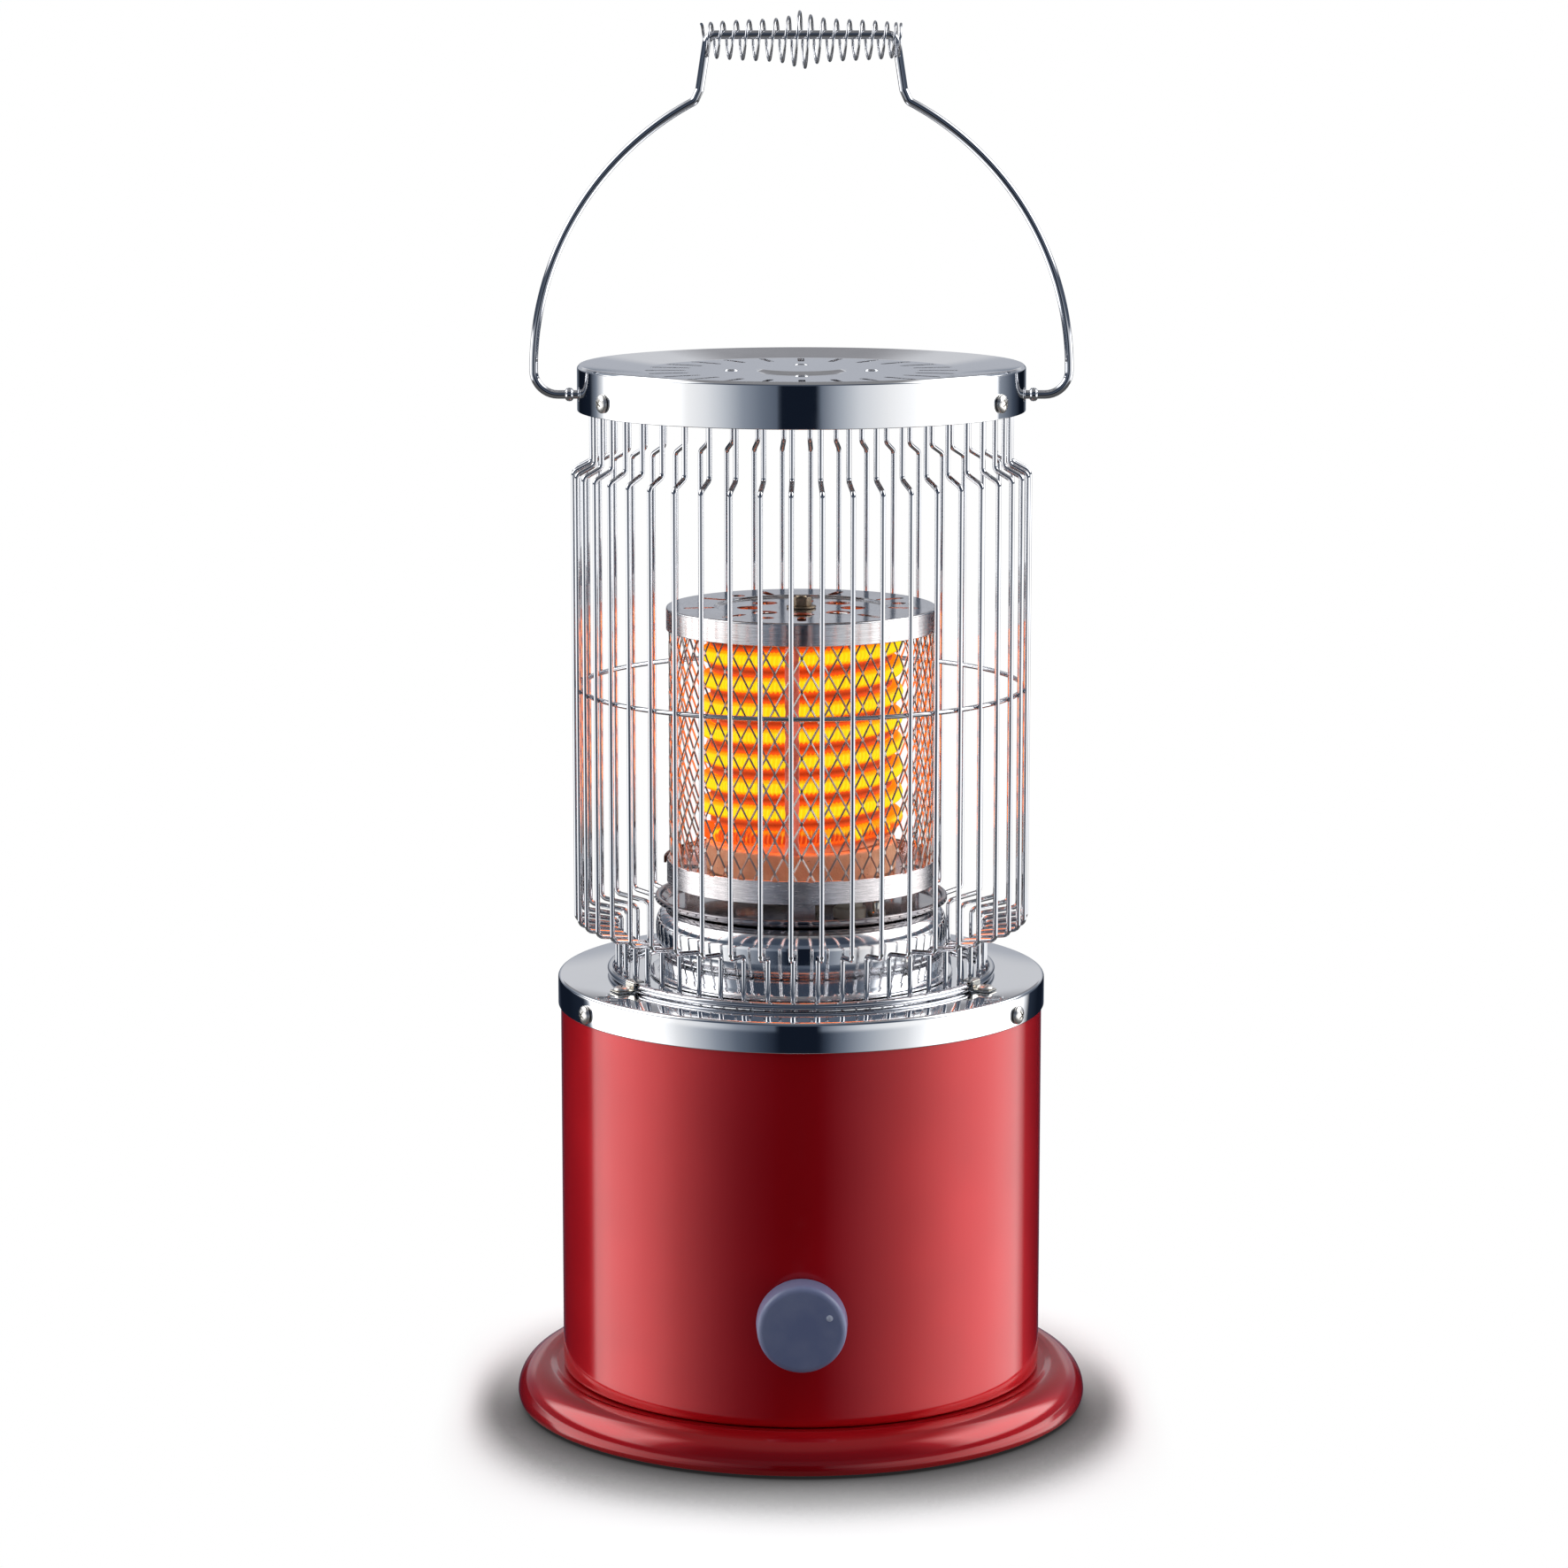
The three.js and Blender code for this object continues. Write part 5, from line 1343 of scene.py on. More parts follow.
@dataclass
class Core:
    """Tray, ceramic, glowing coil, rib, expanded mesh, top plate, tie rod and rear rim."""

    tray_bottom: float = 269.3
    tray_floor: float = 276.0
    tray_top: float = 281.2
    core_bottom: float = 276.3
    mesh_radius: float = 66.9
    mesh_thickness: float = 0.9
    mesh_top: float = 408.4
    can_inside: float = 67.2
    can_radius: float = 68.0
    plate_top: float = 409.5
    plate_skirt: float = 11.6
    recess: float = 1.1
    recess_radius: float = 42.4
    ceramic_top: float = 400.3
    collar_top: float = 291.1
    collar_radius: float = 48.0
    groove_radius: float = 41.6
    ridge_radius: float = 45.8
    ceramic_bore: float = 22.0
    coil_circle: float = 47.3
    coil_radius: float = 4.2
    coil_start: float = -90.0
    coil_end: float = 2610.0
    rib_azimuth: float = -5.1
    columns: int = 47
    rows: int = 16

    def build(self) -> None:
        """Builds and dresses all of it."""
        self.tray()
        self.ceramic()
        self.coil()
        self.rib()
        self.mesh()
        self.top_plate()
        self.rod()
        self.rear_rim()

    def coil_height(self, azimuth: float) -> float:
        """Height of the coil's middle at an azimuth that counts on through its turns."""
        return FIRST_ROW + ROW_PITCH * azimuth / 360

    def tray(self) -> None:
        """Turns the tray with its band, and marks the pressed ticks along the band's top edge."""
        outline = profile([
            (3.3, self.tray_floor - FINE_SHEET), (self.can_inside, self.tray_floor - FINE_SHEET, 0.6),
            (self.can_inside, self.tray_bottom, 0.25), (self.can_radius, self.tray_bottom, 0.35),
            (self.can_radius, self.tray_top, 0.35), (self.can_inside, self.tray_top, 0.25),
            (self.can_inside, self.tray_floor, 0.6), (3.3, self.tray_floor),
        ], 4)
        tray = Sketch().lathe(outline).build("tray_skin")
        cuts = Sketch()
        for azimuth in spread(6, 30):
            place = polar(56, azimuth, 0)
            cuts.prism(shifted(circle(6, 28), place.x, place.y), self.tray_floor - 3, self.tray_floor + 3)
        for azimuth in spread(24, 4):
            notch = [(-1.6, -70), (1.6, -70), (1.6, -64), (-1.6, -64)]
            cuts.merge(Sketch().prism(notch, self.tray_top - 0.45, self.tray_top + 2).turned(azimuth))
        dress(settle_normals(carve(tray, cuts)), SHEET_STEEL, Slot.STEEL, "core_tray")

    def ceramic(self) -> None:
        """Shapes the ceramic: a collar, and a thread whose groove holds the coil."""
        around, levels = 180, 230
        low, high = self.core_bottom, self.ceramic_top

        def reach(azimuth: float, height: float) -> float:
            """Gives the wall's radius at a point.

            Args:
                azimuth: Azimuth in degrees from -180 to 180.
                height: Height of the point.

            Returns:
                The radius.
            """
            if height <= self.collar_top:
                top = min((self.collar_top - height) / 1.5, 1.0)
                bottom = min((height - low) / 0.8, 1.0)
                return self.collar_radius - 1.5 * (1 - math.sqrt(1 - (1 - top) ** 2)) - 0.8 * (1 - bottom)
            turns = (height - self.coil_height(azimuth)) / ROW_PITCH
            beside = abs(turns - round(turns)) * ROW_PITCH
            rise = min(max((beside - 2.2) / 2.0, 0.0), 1.0)
            edge = min((high - height) / 1.2, 1.0)
            wall = self.groove_radius + (self.ridge_radius - self.groove_radius) * (3 * rise**2 - 2 * rise**3)
            return wall - 1.2 * (1 - math.sqrt(max(1 - (1 - edge) ** 2, 0.0)))

        even = {low + (high - low) * i / levels for i in range(levels + 1)}
        heights = sorted(even | {self.collar_top - 0.01, self.collar_top + 0.02})
        rows = [
            [
                polar(reach(azimuth - 360 * (azimuth > 180), height), azimuth, height)
                for azimuth in spread(around)
            ]
            for height in heights
        ]
        bore = [
            [polar(self.ceramic_bore, azimuth, height) for azimuth in spread(around)]
            for height in (high, low)
        ]
        body = Sketch().grid([*rows, *bore], loop=True)
        dress(body.build("ceramic_body", crease=50), CLAY, Slot.CERAMIC, "ceramic_core")

    def coil(self) -> None:
        """Winds fine curls round the helix, over a glowing heart tube, a painted glow that shows between
        them.
        """
        steps_per_turn = 90
        total = int((self.coil_end - self.coil_start) / 360 * steps_per_turn)
        azimuths = [self.coil_start + 360 * i / steps_per_turn for i in range(total + 1)]
        # Painted glow: the heart is no part of the wire; it fills the curls with glow.
        heart = Sketch().tube([polar(self.coil_circle, a, self.coil_height(a)) for a in azimuths], 3.25, 8)
        dress(heart.build("coil_heart"), HOT_HEART, Slot.COIL)
        curl, wire, per_curl = 2.25, 0.42, 10
        length = 2 * math.pi * self.coil_circle * (self.coil_end - self.coil_start) / 360
        count = int(length / curl * per_curl)
        path = []
        for i in range(count + 1):
            azimuth = self.coil_start + (self.coil_end - self.coil_start) * i / count
            turn = 2 * math.pi * i / per_curl
            out = (self.coil_radius - wire) * math.cos(turn)
            up = (self.coil_radius - wire) * math.sin(turn)
            path.append(polar(self.coil_circle + out, azimuth, self.coil_height(azimuth) + up))
        dress(Sketch().tube(path, wire, 5).build("coil_curls"), HOT_WIRE, Slot.COIL, "heating_coil")

    def rib(self) -> None:
        """Builds the ceramic rib in front of the coil as a bar with rounded corners and nicks."""
        inner = self.coil_circle + self.coil_radius + CLEARANCE
        low, high = self.collar_top + CLEARANCE, self.collar_top + CLEARANCE + 104
        half, depth = 3.6, 2.2
        outline = ((-half, -inner - depth), (half, -inner - depth), (half, -inner), (-half, -inner))
        section = soften([Vector((x, y, 0)) for x, y in outline], 0.8, 4, loop=True)
        rows, levels = [], 160
        for i in range(levels + 1):
            height = low + (high - low) * i / levels
            wave = 0.5 + 0.5 * math.cos(2 * math.pi * (height - self.coil_height(0)) / ROW_PITCH)
            swell = 1 - 0.1 * wave**6
            end = min((height - low) / 0.8, (high - height) / 0.8, 1.0)
            share = swell * (0.9 + 0.1 * end)
            middle = -inner - depth / 2
            rows.append([Vector((p.x * share, middle + (p.y - middle) * share, height)) for p in section])
        rib = Sketch().bar(rows)
        dress(rib.turned(self.rib_azimuth).build("rib_body", crease=60), RIB, Slot.CERAMIC, "coil_retainer")

    def mesh(self) -> None:
        """Lays the expanded mesh: tilted strands between short upright bonds."""
        low, high = self.core_bottom, self.mesh_top
        rise = (high - low) / self.rows
        column = 360 / self.columns
        outer, inner = self.mesh_radius - 0.15, self.mesh_radius - self.mesh_thickness
        net = Sketch()
        half_bond, strand = 1.15, 0.42

        def bar(start: Vector, end: Vector, across: Vector, through: Vector) -> None:
            """Adds a bar of four sides between two points."""
            signs = ((-1, -1), (1, -1), (1, 1), (-1, 1))
            ends = [[point + a * across + b * through for a, b in signs] for point in (start, end)]
            net.grid(ends)

        for row in range(self.rows + 1):
            height = low + rise * row
            for place in range(self.columns):
                azimuth = column * (place + (row % 2) / 2)
                outward = polar(1, azimuth, 0)
                beside = polar(1, azimuth + 90, 0)
                foot, head = max(height - half_bond, low), min(height + half_bond, high)
                bar(
                    polar(outer - 0.35, azimuth, foot), polar(inner + 0.35, azimuth, head), 0.62 * beside,
                    0.3 * outward,
                )
                if row == self.rows:
                    continue
                for way in (-1, 1):
                    start = polar(inner + 0.3, azimuth + way * 0.3, height + half_bond * 0.6)
                    end = polar(
                        outer - 0.3, azimuth + way * (column / 2 - 0.3), height + rise - half_bond * 0.6,
                    )
                    line = (end - start).normalized()
                    middle = polar(1, azimuth + way * column / 4, 0)
                    tilt = (line.cross(middle) * 0.8 + middle * 0.6 * way).normalized()
                    bar(start, end, strand * tilt, 0.3 * line.cross(tilt))
        dress(net.build("mesh_net", crease=20), MESH_STEEL, Slot.STEEL, "mesh_screen")

    def top_plate(self) -> None:
        """Turns the top plate and cuts its slots, holes and eyes."""
        top, low = self.plate_top, self.plate_top - self.recess
        outline = profile([
            (3.3, low - FINE_SHEET), (self.recess_radius, low - FINE_SHEET, 1.5),
            (self.recess_radius + self.recess, top - FINE_SHEET, 1.5),
            (self.can_inside, top - FINE_SHEET, 0.5), (self.can_inside, top - self.plate_skirt, 0.2),
            (self.can_radius, top - self.plate_skirt, 0.35), (self.can_radius, top, 1.1),
            (self.recess_radius + self.recess, top, 1.5), (self.recess_radius, low, 1.5), (3.3, low),
        ], 6)
        plate = Sketch().lathe(outline).build("top_plate_skin")
        cuts = Sketch()
        for azimuth in spread(9):
            cuts.merge(Sketch().prism(shifted(round_slot(16, 4.4), 0, -52), top - 4, top + 3).turned(azimuth))
        for azimuth in spread(8):
            cuts.merge(Sketch().prism(shifted(circle(6.4, 32), 0, -26), top - 4, top + 3).turned(azimuth))
        for azimuth in spread(3, -20):
            cuts.merge(Sketch().prism(shifted(circle(3.6, 24), 0, -50), top - 4, top + 3).turned(azimuth))
        plate = settle_normals(carve(plate, cuts))
        dress(plate, PLATE_STEEL, Slot.STEEL, "core_top_plate")

    def rod(self) -> None:
        """Turns the tie rod with a ridged thread at its tip, and its nut and washer."""
        seat = self.plate_top - self.recess + CLEARANCE
        top = seat + FINE_SHEET + 4.4 + 0.8
        thread = []
        for i in range(7):
            height = seat + FINE_SHEET + 0.7 * i
            thread += [(2.65, height), (3.0, height + 0.35)]
        outline = profile([
            (0, 255.1), (5.5, 255.1, 0.5), (5.5, 257.6, 0.5), (3, 257.6), *thread, (2.6, top), (0, top),
        ], 3, loop=False)
        dress(
            Sketch().lathe(outline, Faces.SMALL, loop=False).build("tie_rod_skin"), BROWN_NICKEL,
            Slot.NICKEL, "core_tie_rod",
        )
        nut = hexagon_nut(5.2, seat + FINE_SHEET, seat + FINE_SHEET + 4.4, 3.3)
        washer = profile(
            [
                (3.3, seat, 0.15), (7.5, seat, 0.2), (7.5, seat + FINE_SHEET, 0.3),
                (3.3, seat + FINE_SHEET, 0.15),
            ],
            3,
        )
        nut.lathe(washer, Faces.SMALL)
        dress(nut.build("core_nut_skin", weld=0.0005), BROWN_NICKEL, Slot.NICKEL, "core_nut")

    def rear_rim(self) -> None:
        """Bends the browned strap that shows behind the core, from side to side."""
        corners = [
            Vector((r, 0, z)) for r, z in ((68.25, 281.6), (69.6, 281.6), (69.6, 285.0), (68.25, 285.0))
        ]
        section = soften(corners, 0.3, 3, loop=True)
        azimuths = [90 + 180 * i / 90 for i in range(91)]
        rim = Sketch().bar([[polar(p.x, azimuth, p.z - 3.4) for p in section] for azimuth in azimuths])
        dress(rim.build("rear_rim", crease=50), RIM_OXIDE, Slot.STEEL)


@dataclass
class Guard:
    """Wire guard with its rings, and the clips that hold it."""

    wires: int = 48
    first: float = -2.67
    wire_radius: float = 1.25
    foot_circle: float = 93.4
    circle: float = 113.9
    top_circle: float = 104.6
    foot_ring: float = 96.6
    foot_height: float = 224.6
    low_bend: float = 248.0
    low_corner: float = 250.6
    mid_ring: float = 368.9
    high_corner: float = 477.6
    high_bend: float = 482.5
    top: float = 527.2

    def build(self) -> None:
        """Builds and dresses all of it."""
        self.cage()
        self.clips()

    def cage(self) -> None:
        """Bends the wires and closes the rings."""
        cage = Sketch()
        for azimuth in spread(self.wires, self.first):
            corners = [
                polar(self.foot_circle, azimuth, self.foot_height - 1.2),
                polar(self.foot_circle, azimuth, self.low_bend),
                polar(self.circle, azimuth, self.low_corner), polar(self.circle, azimuth, self.high_corner),
                polar(self.top_circle, azimuth, self.high_bend), polar(self.top_circle, azimuth, self.top),
            ]
            cage.tube(soften(corners, 3.2, 6), self.wire_radius)
        for reach, height, radius in (
            (self.foot_ring, self.foot_height, 2.0), (self.circle - 2.3, self.mid_ring, 1.2),
        ):
            cage.tube([polar(reach, azimuth, height) for azimuth in spread(288)], radius, loop=True)
        dress(cage.build("guard_wires", crease=70), WIRE_CHROME, Slot.CHROME, "guard_cage")

    def clips(self) -> None:
        """Folds three clips over the foot ring."""
        face = self.foot_ring + 2.3
        low, high = COVER_TOP + CLEARANCE, self.foot_height + 2.0 + CLEARANCE
        toe = face + 10
        corners = [
            (face, low, 0.5), (toe, low, 0), (toe, low + SHEET, 0.3), (face + SHEET, low + SHEET, 0.4),
            (face + SHEET, high + SHEET, 1.4), (face - 5.1, high + SHEET, 0.3), (face - 5.1, high, 0),
            (face, high, 0.5),
        ]
        outline = profile(corners, 4)
        for index, azimuth in enumerate(spread(3, FIRST_CLIP)):
            rows = [[Vector((side, -p.x, p.z)) for p in outline] for side in (-4.0, -3.7, 3.7, 4.0)]
            dress(
                Sketch().bar(rows).turned(azimuth).build(f"clip_strap_{index + 1}"), NICKEL, Slot.NICKEL,
                f"guard_clip_{index + 1}",
            )


@dataclass
class Cap:
    """Slotted chromed cap and the ring inside its skirt."""

    inside: float = 110.8
    bottom: float = 508.137
    edge: float = 530.937
    dish: float = 3.4
    disc_radius: float = 80.0
    boss_radius: float = 20.0
    boss_slope: float = 3.0
    boss_rise: float = 1.1
    ring_radius: float = 110.5
    ring_bottom: float = 511.0
    ring_top: float = 528.5
    shelf_inside: float = 100.5

    def build(self) -> None:
        """Builds and dresses all of it."""
        self.cap()
        self.ring()

    def side_holes(self) -> Sketch:
        """Sketches the tools for the two holes of the bail."""
        tools = Sketch()
        for way in (-1, 1):
            hole = Sketch().prism(circle(2.5, 24), -5, 5)
            tools.merge(hole.placed(Vector((way * CAP_RADIUS, 0, PIVOT_HEIGHT)), Vector((way, 0, 0))))
        return tools

    def cap(self) -> None:
        """Turns the cap, cuts its slots and eyes and raises a thin lip round each eye."""
        disc = self.edge - self.dish
        boss = disc + self.boss_rise
        slope_end = self.boss_radius + self.boss_slope
        outline = profile([
            (0, boss), (self.boss_radius, boss, 1.6), (slope_end, disc, 1.6), (self.disc_radius, disc, 16),
            (CAP_RADIUS - 1.3, self.edge, 1.2), (CAP_RADIUS, self.edge - 1.5, 1.2),
            (CAP_RADIUS, self.bottom, 0.35), (self.inside, self.bottom, 0.3),
            (self.inside, self.edge - SHEET - 0.3, 0.8), (self.disc_radius, disc - SHEET, 10),
            (slope_end, disc - SHEET, 1), (self.boss_radius, boss - SHEET, 1), (0, boss - SHEET),
        ], 8, loop=False)
        cap = Sketch().lathe(outline, loop=False).build("cap_skin", crease=40)
        cuts = self.side_holes()
        for azimuth in spread(24):
            cuts.merge(
                Sketch().prism(shifted(round_slot(21, 3.4), 0, -68), disc - 3, disc + 3).turned(azimuth)
            )
        for azimuth in spread(4):
            cuts.merge(Sketch().prism(shifted(circle(3, 24), 0, -35), disc - 3, disc + 3).turned(azimuth))
        cap = settle_normals(carve(cap, cuts, crease=40))
        dress(cap, CAP_CHROME, Slot.CHROME, "top_cap")
        lips = Sketch()
        for azimuth in spread(4):
            path = [Vector((x, y, disc)) for x, y in shifted(circle(3.4, 24), 0, -35)]
            lips.merge(Sketch().tube(path, 0.3, 6, loop=True).turned(azimuth))
        dress(lips.build("cap_eye_lips", crease=80), CAP_CHROME, Slot.CHROME)

    def ring(self) -> None:
        """Turns the angle ring that the cap and the wires share."""
        inside = self.ring_radius - SHEET
        outline = profile([
            (self.shelf_inside, self.ring_top - SHEET, 0.3), (inside, self.ring_top - SHEET, 0.6),
            (inside, self.ring_bottom, 0.3), (self.ring_radius, self.ring_bottom, 0.3),
            (self.ring_radius, self.ring_top, 0.8), (self.shelf_inside, self.ring_top, 0.3),
        ], 4)
        ring = carve(Sketch().lathe(outline).build("seat_ring_skin"), self.side_holes())
        dress(settle_normals(ring), HIDDEN_STEEL, Slot.STEEL, "cap_seat_ring")


@dataclass
class Bail:
    """Swinging bail with swaged ends, and its coiled grip."""

    wire_radius: float = 2.15
    inner: float = 108.9
    reach: float = 9.6
    low_bend: float = 12.0
    arm_radius: float = 149.7
    arm_angle: float = 62.5
    shoulder_step: float = 2.5
    shoulder_rise: float = 5.6
    neck_rise: float = 22.0
    neck_lean: float = 4.1
    corner: float = 4.7
    grip_wire: float = 0.7
    grip_drop: float = 2.6

    def build(self) -> None:
        """Builds and dresses all of it."""
        self.wire()
        self.grip()

    def half(self) -> list[tuple[float, float]]:
        """Lists the corners of one half, across and up from the pivot, out to the middle of the grip."""
        bend = CAP_RADIUS + self.reach
        low = [(bend + self.low_bend * math.sin(t), self.low_bend * (1 - math.cos(t)))
               for t in (math.pi / 2 * i / 10 for i in range(11))]
        centre = bend + self.low_bend - self.arm_radius
        arm = [(centre + self.arm_radius * math.cos(t), self.low_bend + self.arm_radius * math.sin(t))
               for t in (math.radians(self.arm_angle) * (i + 1) / 40 for i in range(40))]
        end_x, end_z = arm[-1]
        neck = (end_x - self.shoulder_step, end_z + self.shoulder_rise)
        top = (neck[0] - self.neck_lean, neck[1] + self.neck_rise + self.corner)
        bends = [Vector((*point, 0)) for point in (arm[-2], arm[-1], neck, top, (0, top[1]))]
        corners = soften(bends, [0, 4.0, 4.0, self.corner, 0], 8)
        return [(self.inner - 2, 0), *low, *arm[:-2], *[(p.x, p.y) for p in corners]]

    def wire(self) -> None:
        """Bends the wire, and adds its rivet heads and the flattened ears beside the cap."""
        half = self.half()
        path = [Vector((-x, 0, PIVOT_HEIGHT + z)) for x, z in half]
        path += [Vector((x, 0, PIVOT_HEIGHT + z)) for x, z in reversed(half[:-1])]
        bail = Sketch().tube(path, self.wire_radius, 20)
        for way in (-1, 1):
            head = profile(
                [(0, -2.4), (2.6, -2.4, 0.8), (3.3, -1.6, 0.8), (3.3, 0, 0.3), (0, 0)], 4, loop=False,
            )
            bail.merge(
                Sketch().lathe(head, Faces.SMALL, loop=False).placed(
                    Vector((way * self.inner, 0, PIVOT_HEIGHT)), Vector((way, 0, 0)),
                )
            )
            collar = profile([
                (0, 0), (2.5, 0, 0.3), (3.3, 0.9, 0.5), (3.3, 2.9, 0.5), (2.5, 3.8, 0.3), (0, 3.8),
            ], 4, loop=False)
            seat = Vector((way * (CAP_RADIUS + 2), 0, PIVOT_HEIGHT))
            bail.merge(Sketch().lathe(collar, Faces.SMALL, loop=False).placed(seat, Vector((way, 0, 0))))
            for lift in (-1, 1):
                tab = Sketch().prism(circle(1.2, 16), 0, 1.3)
                ear = Vector((way * (CAP_RADIUS + 3.9), 0, PIVOT_HEIGHT + lift * 2.0))
                bail.merge(tab.placed(ear, Vector((0, 0, lift))))
        dress(
            bail.build("bail_skin", crease=50, weld=0.0005), WIRE_CHROME, Slot.CHROME, "bail_wire",
            body=Body.BAIL,
        )

    def grip(self) -> None:
        """Winds the grip: close turns that swell to one tall turn in the middle."""
        half = self.half()
        grip_height = half[-1][1] - self.grip_drop
        outside = 49.4
        turns, steps = 17, 28
        tops = [
            -49.4, -44.8, -38.9, -32.2, -25.9, -19.3, -12.6, -6.4, -1.0, 4.4, 10.7, 17.1, 23.5, 29.9, 36.2,
            42.1, 46.5, 48.9,
        ]
        path = []
        for i in range(turns * steps + 1):
            turn = i / steps
            index = min(int(turn), turns - 1)
            share = turn - index
            x = tops[index] + (tops[index + 1] - tops[index]) * share
            place = min(abs(x) / outside, 1.0)
            radius = 7.8 + 1.9 * (1 - place**3) + 5.0 * math.exp(-abs(x) / 5.5)
            angle = 2 * math.pi * turn + math.pi / 2
            depth, rise = -radius * math.cos(angle), radius * math.sin(angle)
            path.append(Vector((x, depth, PIVOT_HEIGHT + grip_height + rise)))
        spring = Sketch().tube(path, self.grip_wire, 10)
        dress(spring.build("grip_coil", crease=70), WIRE_CHROME, Slot.CHROME, "grip_spring", body=Body.BAIL)


@dataclass
class Knob:
    """Slate-blue knob with a raised dot."""

    back: float = 123.2
    front: float = 137.2
    back_radius: float = 22.4
    front_radius: float = 21.75
    fillet: float = 3.4
    dot_radius: float = 1.6
    dot_circle: float = 14.8
    dot_azimuth: float = 65.0

    def build(self) -> None:
        """Builds and dresses the knob and its dot."""
        outline = profile([
            (0, self.back + 9.7), (3.3, self.back + 9.7), (3.3, self.back + 4.3, 0.3),
            (6.6, self.back + 4.3, 0.4), (6.6, self.front - 3, 0.6), (19.4, self.front - 3, 1),
            (19.4, self.back, 0.2), (self.back_radius, self.back, 0.5),
            (self.front_radius, self.front, self.fillet), (0, self.front),
        ], 10, loop=False)
        knob = Sketch().lathe(outline, Faces.MEDIUM, loop=False)
        turn = math.radians(self.dot_azimuth)
        dot = profile(
            [(0, -0.4), (self.dot_radius, -0.4), (self.dot_radius, 0.15, 0.3), (0.7, 0.5, 0.4), (0, 0.5)],
            4, loop=False,
        )
        seat = Vector((self.dot_circle * math.sin(turn), -self.dot_circle * math.cos(turn), self.front))
        pip = Sketch().lathe(dot, Faces.SMALL, loop=False).placed(seat, UP)
        for corner in [*knob.corners, *pip.corners]:
            corner.y, corner.z = -corner.z, SHAFT_HEIGHT - corner.y
        dress(
            knob.build("knob_body", weld=0.0005), KNOB_PLASTIC, Slot.BLUE_PLASTIC, "control_knob",
            body=Body.KNOB,
        )
        dress(pip.build("knob_dot", weld=0.0005), DOT_PLASTIC, Slot.BLUE_PLASTIC, body=Body.KNOB)


@dataclass
class Screws:
    """Pan-head screws with a cross recess, one in each seat."""

    crown: float = 2.6
    head: float = 4.7
    clip_crown: float = 2.0
    clip_head: float = 4.0
    cover_circle: float = 123.8
    cover_height: float = 212.8
    cap_circle: float = 112.1
    cap_height: float = 515.737
    clip_circle: float = 104.5
    clip_height: float = 223.9
    plate_circle: float = 115.0
    plate_height: float = 15.6

    def sketch_head(self, head: float, crown: float, length: float) -> Sketch:
        """Sketches a screw along +Z with its seat at zero.

        Args:
            head: Radius of the head.
            crown: Height of the head.
            length: Length of the shank.

        Returns:
            The sketch.
        """
        dome = arc((0, 0.5), (head, crown - 0.5), 0, 90, 12)
        outline = profile(
            [(0, -length), (1.6, -length, 0.4), (2, -length + 1.2), (2, 0), (head, 0, 0.2), *dome], 3,
            loop=False,
        )
        return Sketch().lathe(outline, Faces.SMALL, loop=False)

    def recess(self, head: float, crown: float) -> Sketch:
        """Sketches the tool of the cross recess.

        Args:
            head: Radius of the head.
            crown: Height of the head.

        Returns:
            The sketch, along +Z.
        """
        arm, wide = head * 0.52, head * 0.1
        outline = [
            (wide, arm), (-wide, arm), (-wide, wide), (-arm, wide), (-arm, -wide), (-wide, -wide),
            (-wide, -arm), (wide, -arm), (wide, -wide), (arm, -wide), (arm, wide), (wide, wide),
        ]
        return Sketch().prism(outline, crown - 1.5, crown + 2)

    def set(
        self, name: str, node: str, seat: Vector, way: Vector, length: float, head: float, crown: float,
    ) -> None:
        """Makes one screw.

        Args:
            name: Name of the piece.
            node: CAD node that it replaces.
            seat: Point under the middle of its head.
            way: Direction that the head looks in.
            length: Length of its shank.
            head: Radius of its head.
            crown: Height of its head.
        """
        body = self.sketch_head(head, crown, length).placed(seat, way).build(name)
        dress(carve(body, self.recess(head, crown).placed(seat, way)), SCREW_NICKEL, Slot.NICKEL, node)

    def build(self) -> None:
        """Sets all screws."""
        for index, azimuth in enumerate(spread(3, 60)):
            way = polar(1, azimuth, 0)
            self.set(
                f"cover_screw_head_{index + 1}", f"cover_screw_{index + 1}",
                polar(self.cover_circle, azimuth, self.cover_height), way, 11, self.head, self.crown,
            )
            self.set(
                f"cap_screw_head_{index + 1}", f"cap_screw_{index + 1}",
                polar(self.cap_circle, azimuth, self.cap_height), way, 6, self.head, self.crown,
            )
        for index, azimuth in enumerate(spread(3, FIRST_CLIP)):
            seat = polar(self.clip_circle, azimuth, self.clip_height)
            self.set(
                f"clip_screw_head_{index + 1}", f"clip_screw_{index + 1}", seat, UP, 8, self.clip_head,
                self.clip_crown,
            )
        for index, azimuth in enumerate(spread(3, 30)):
            seat = polar(self.plate_circle, azimuth, self.plate_height)
            self.set(
                f"bottom_screw_head_{index + 1}", f"bottom_screw_{index + 1}", seat, Vector((0, 0, -1)),
                4.2, self.head, self.crown,
            )


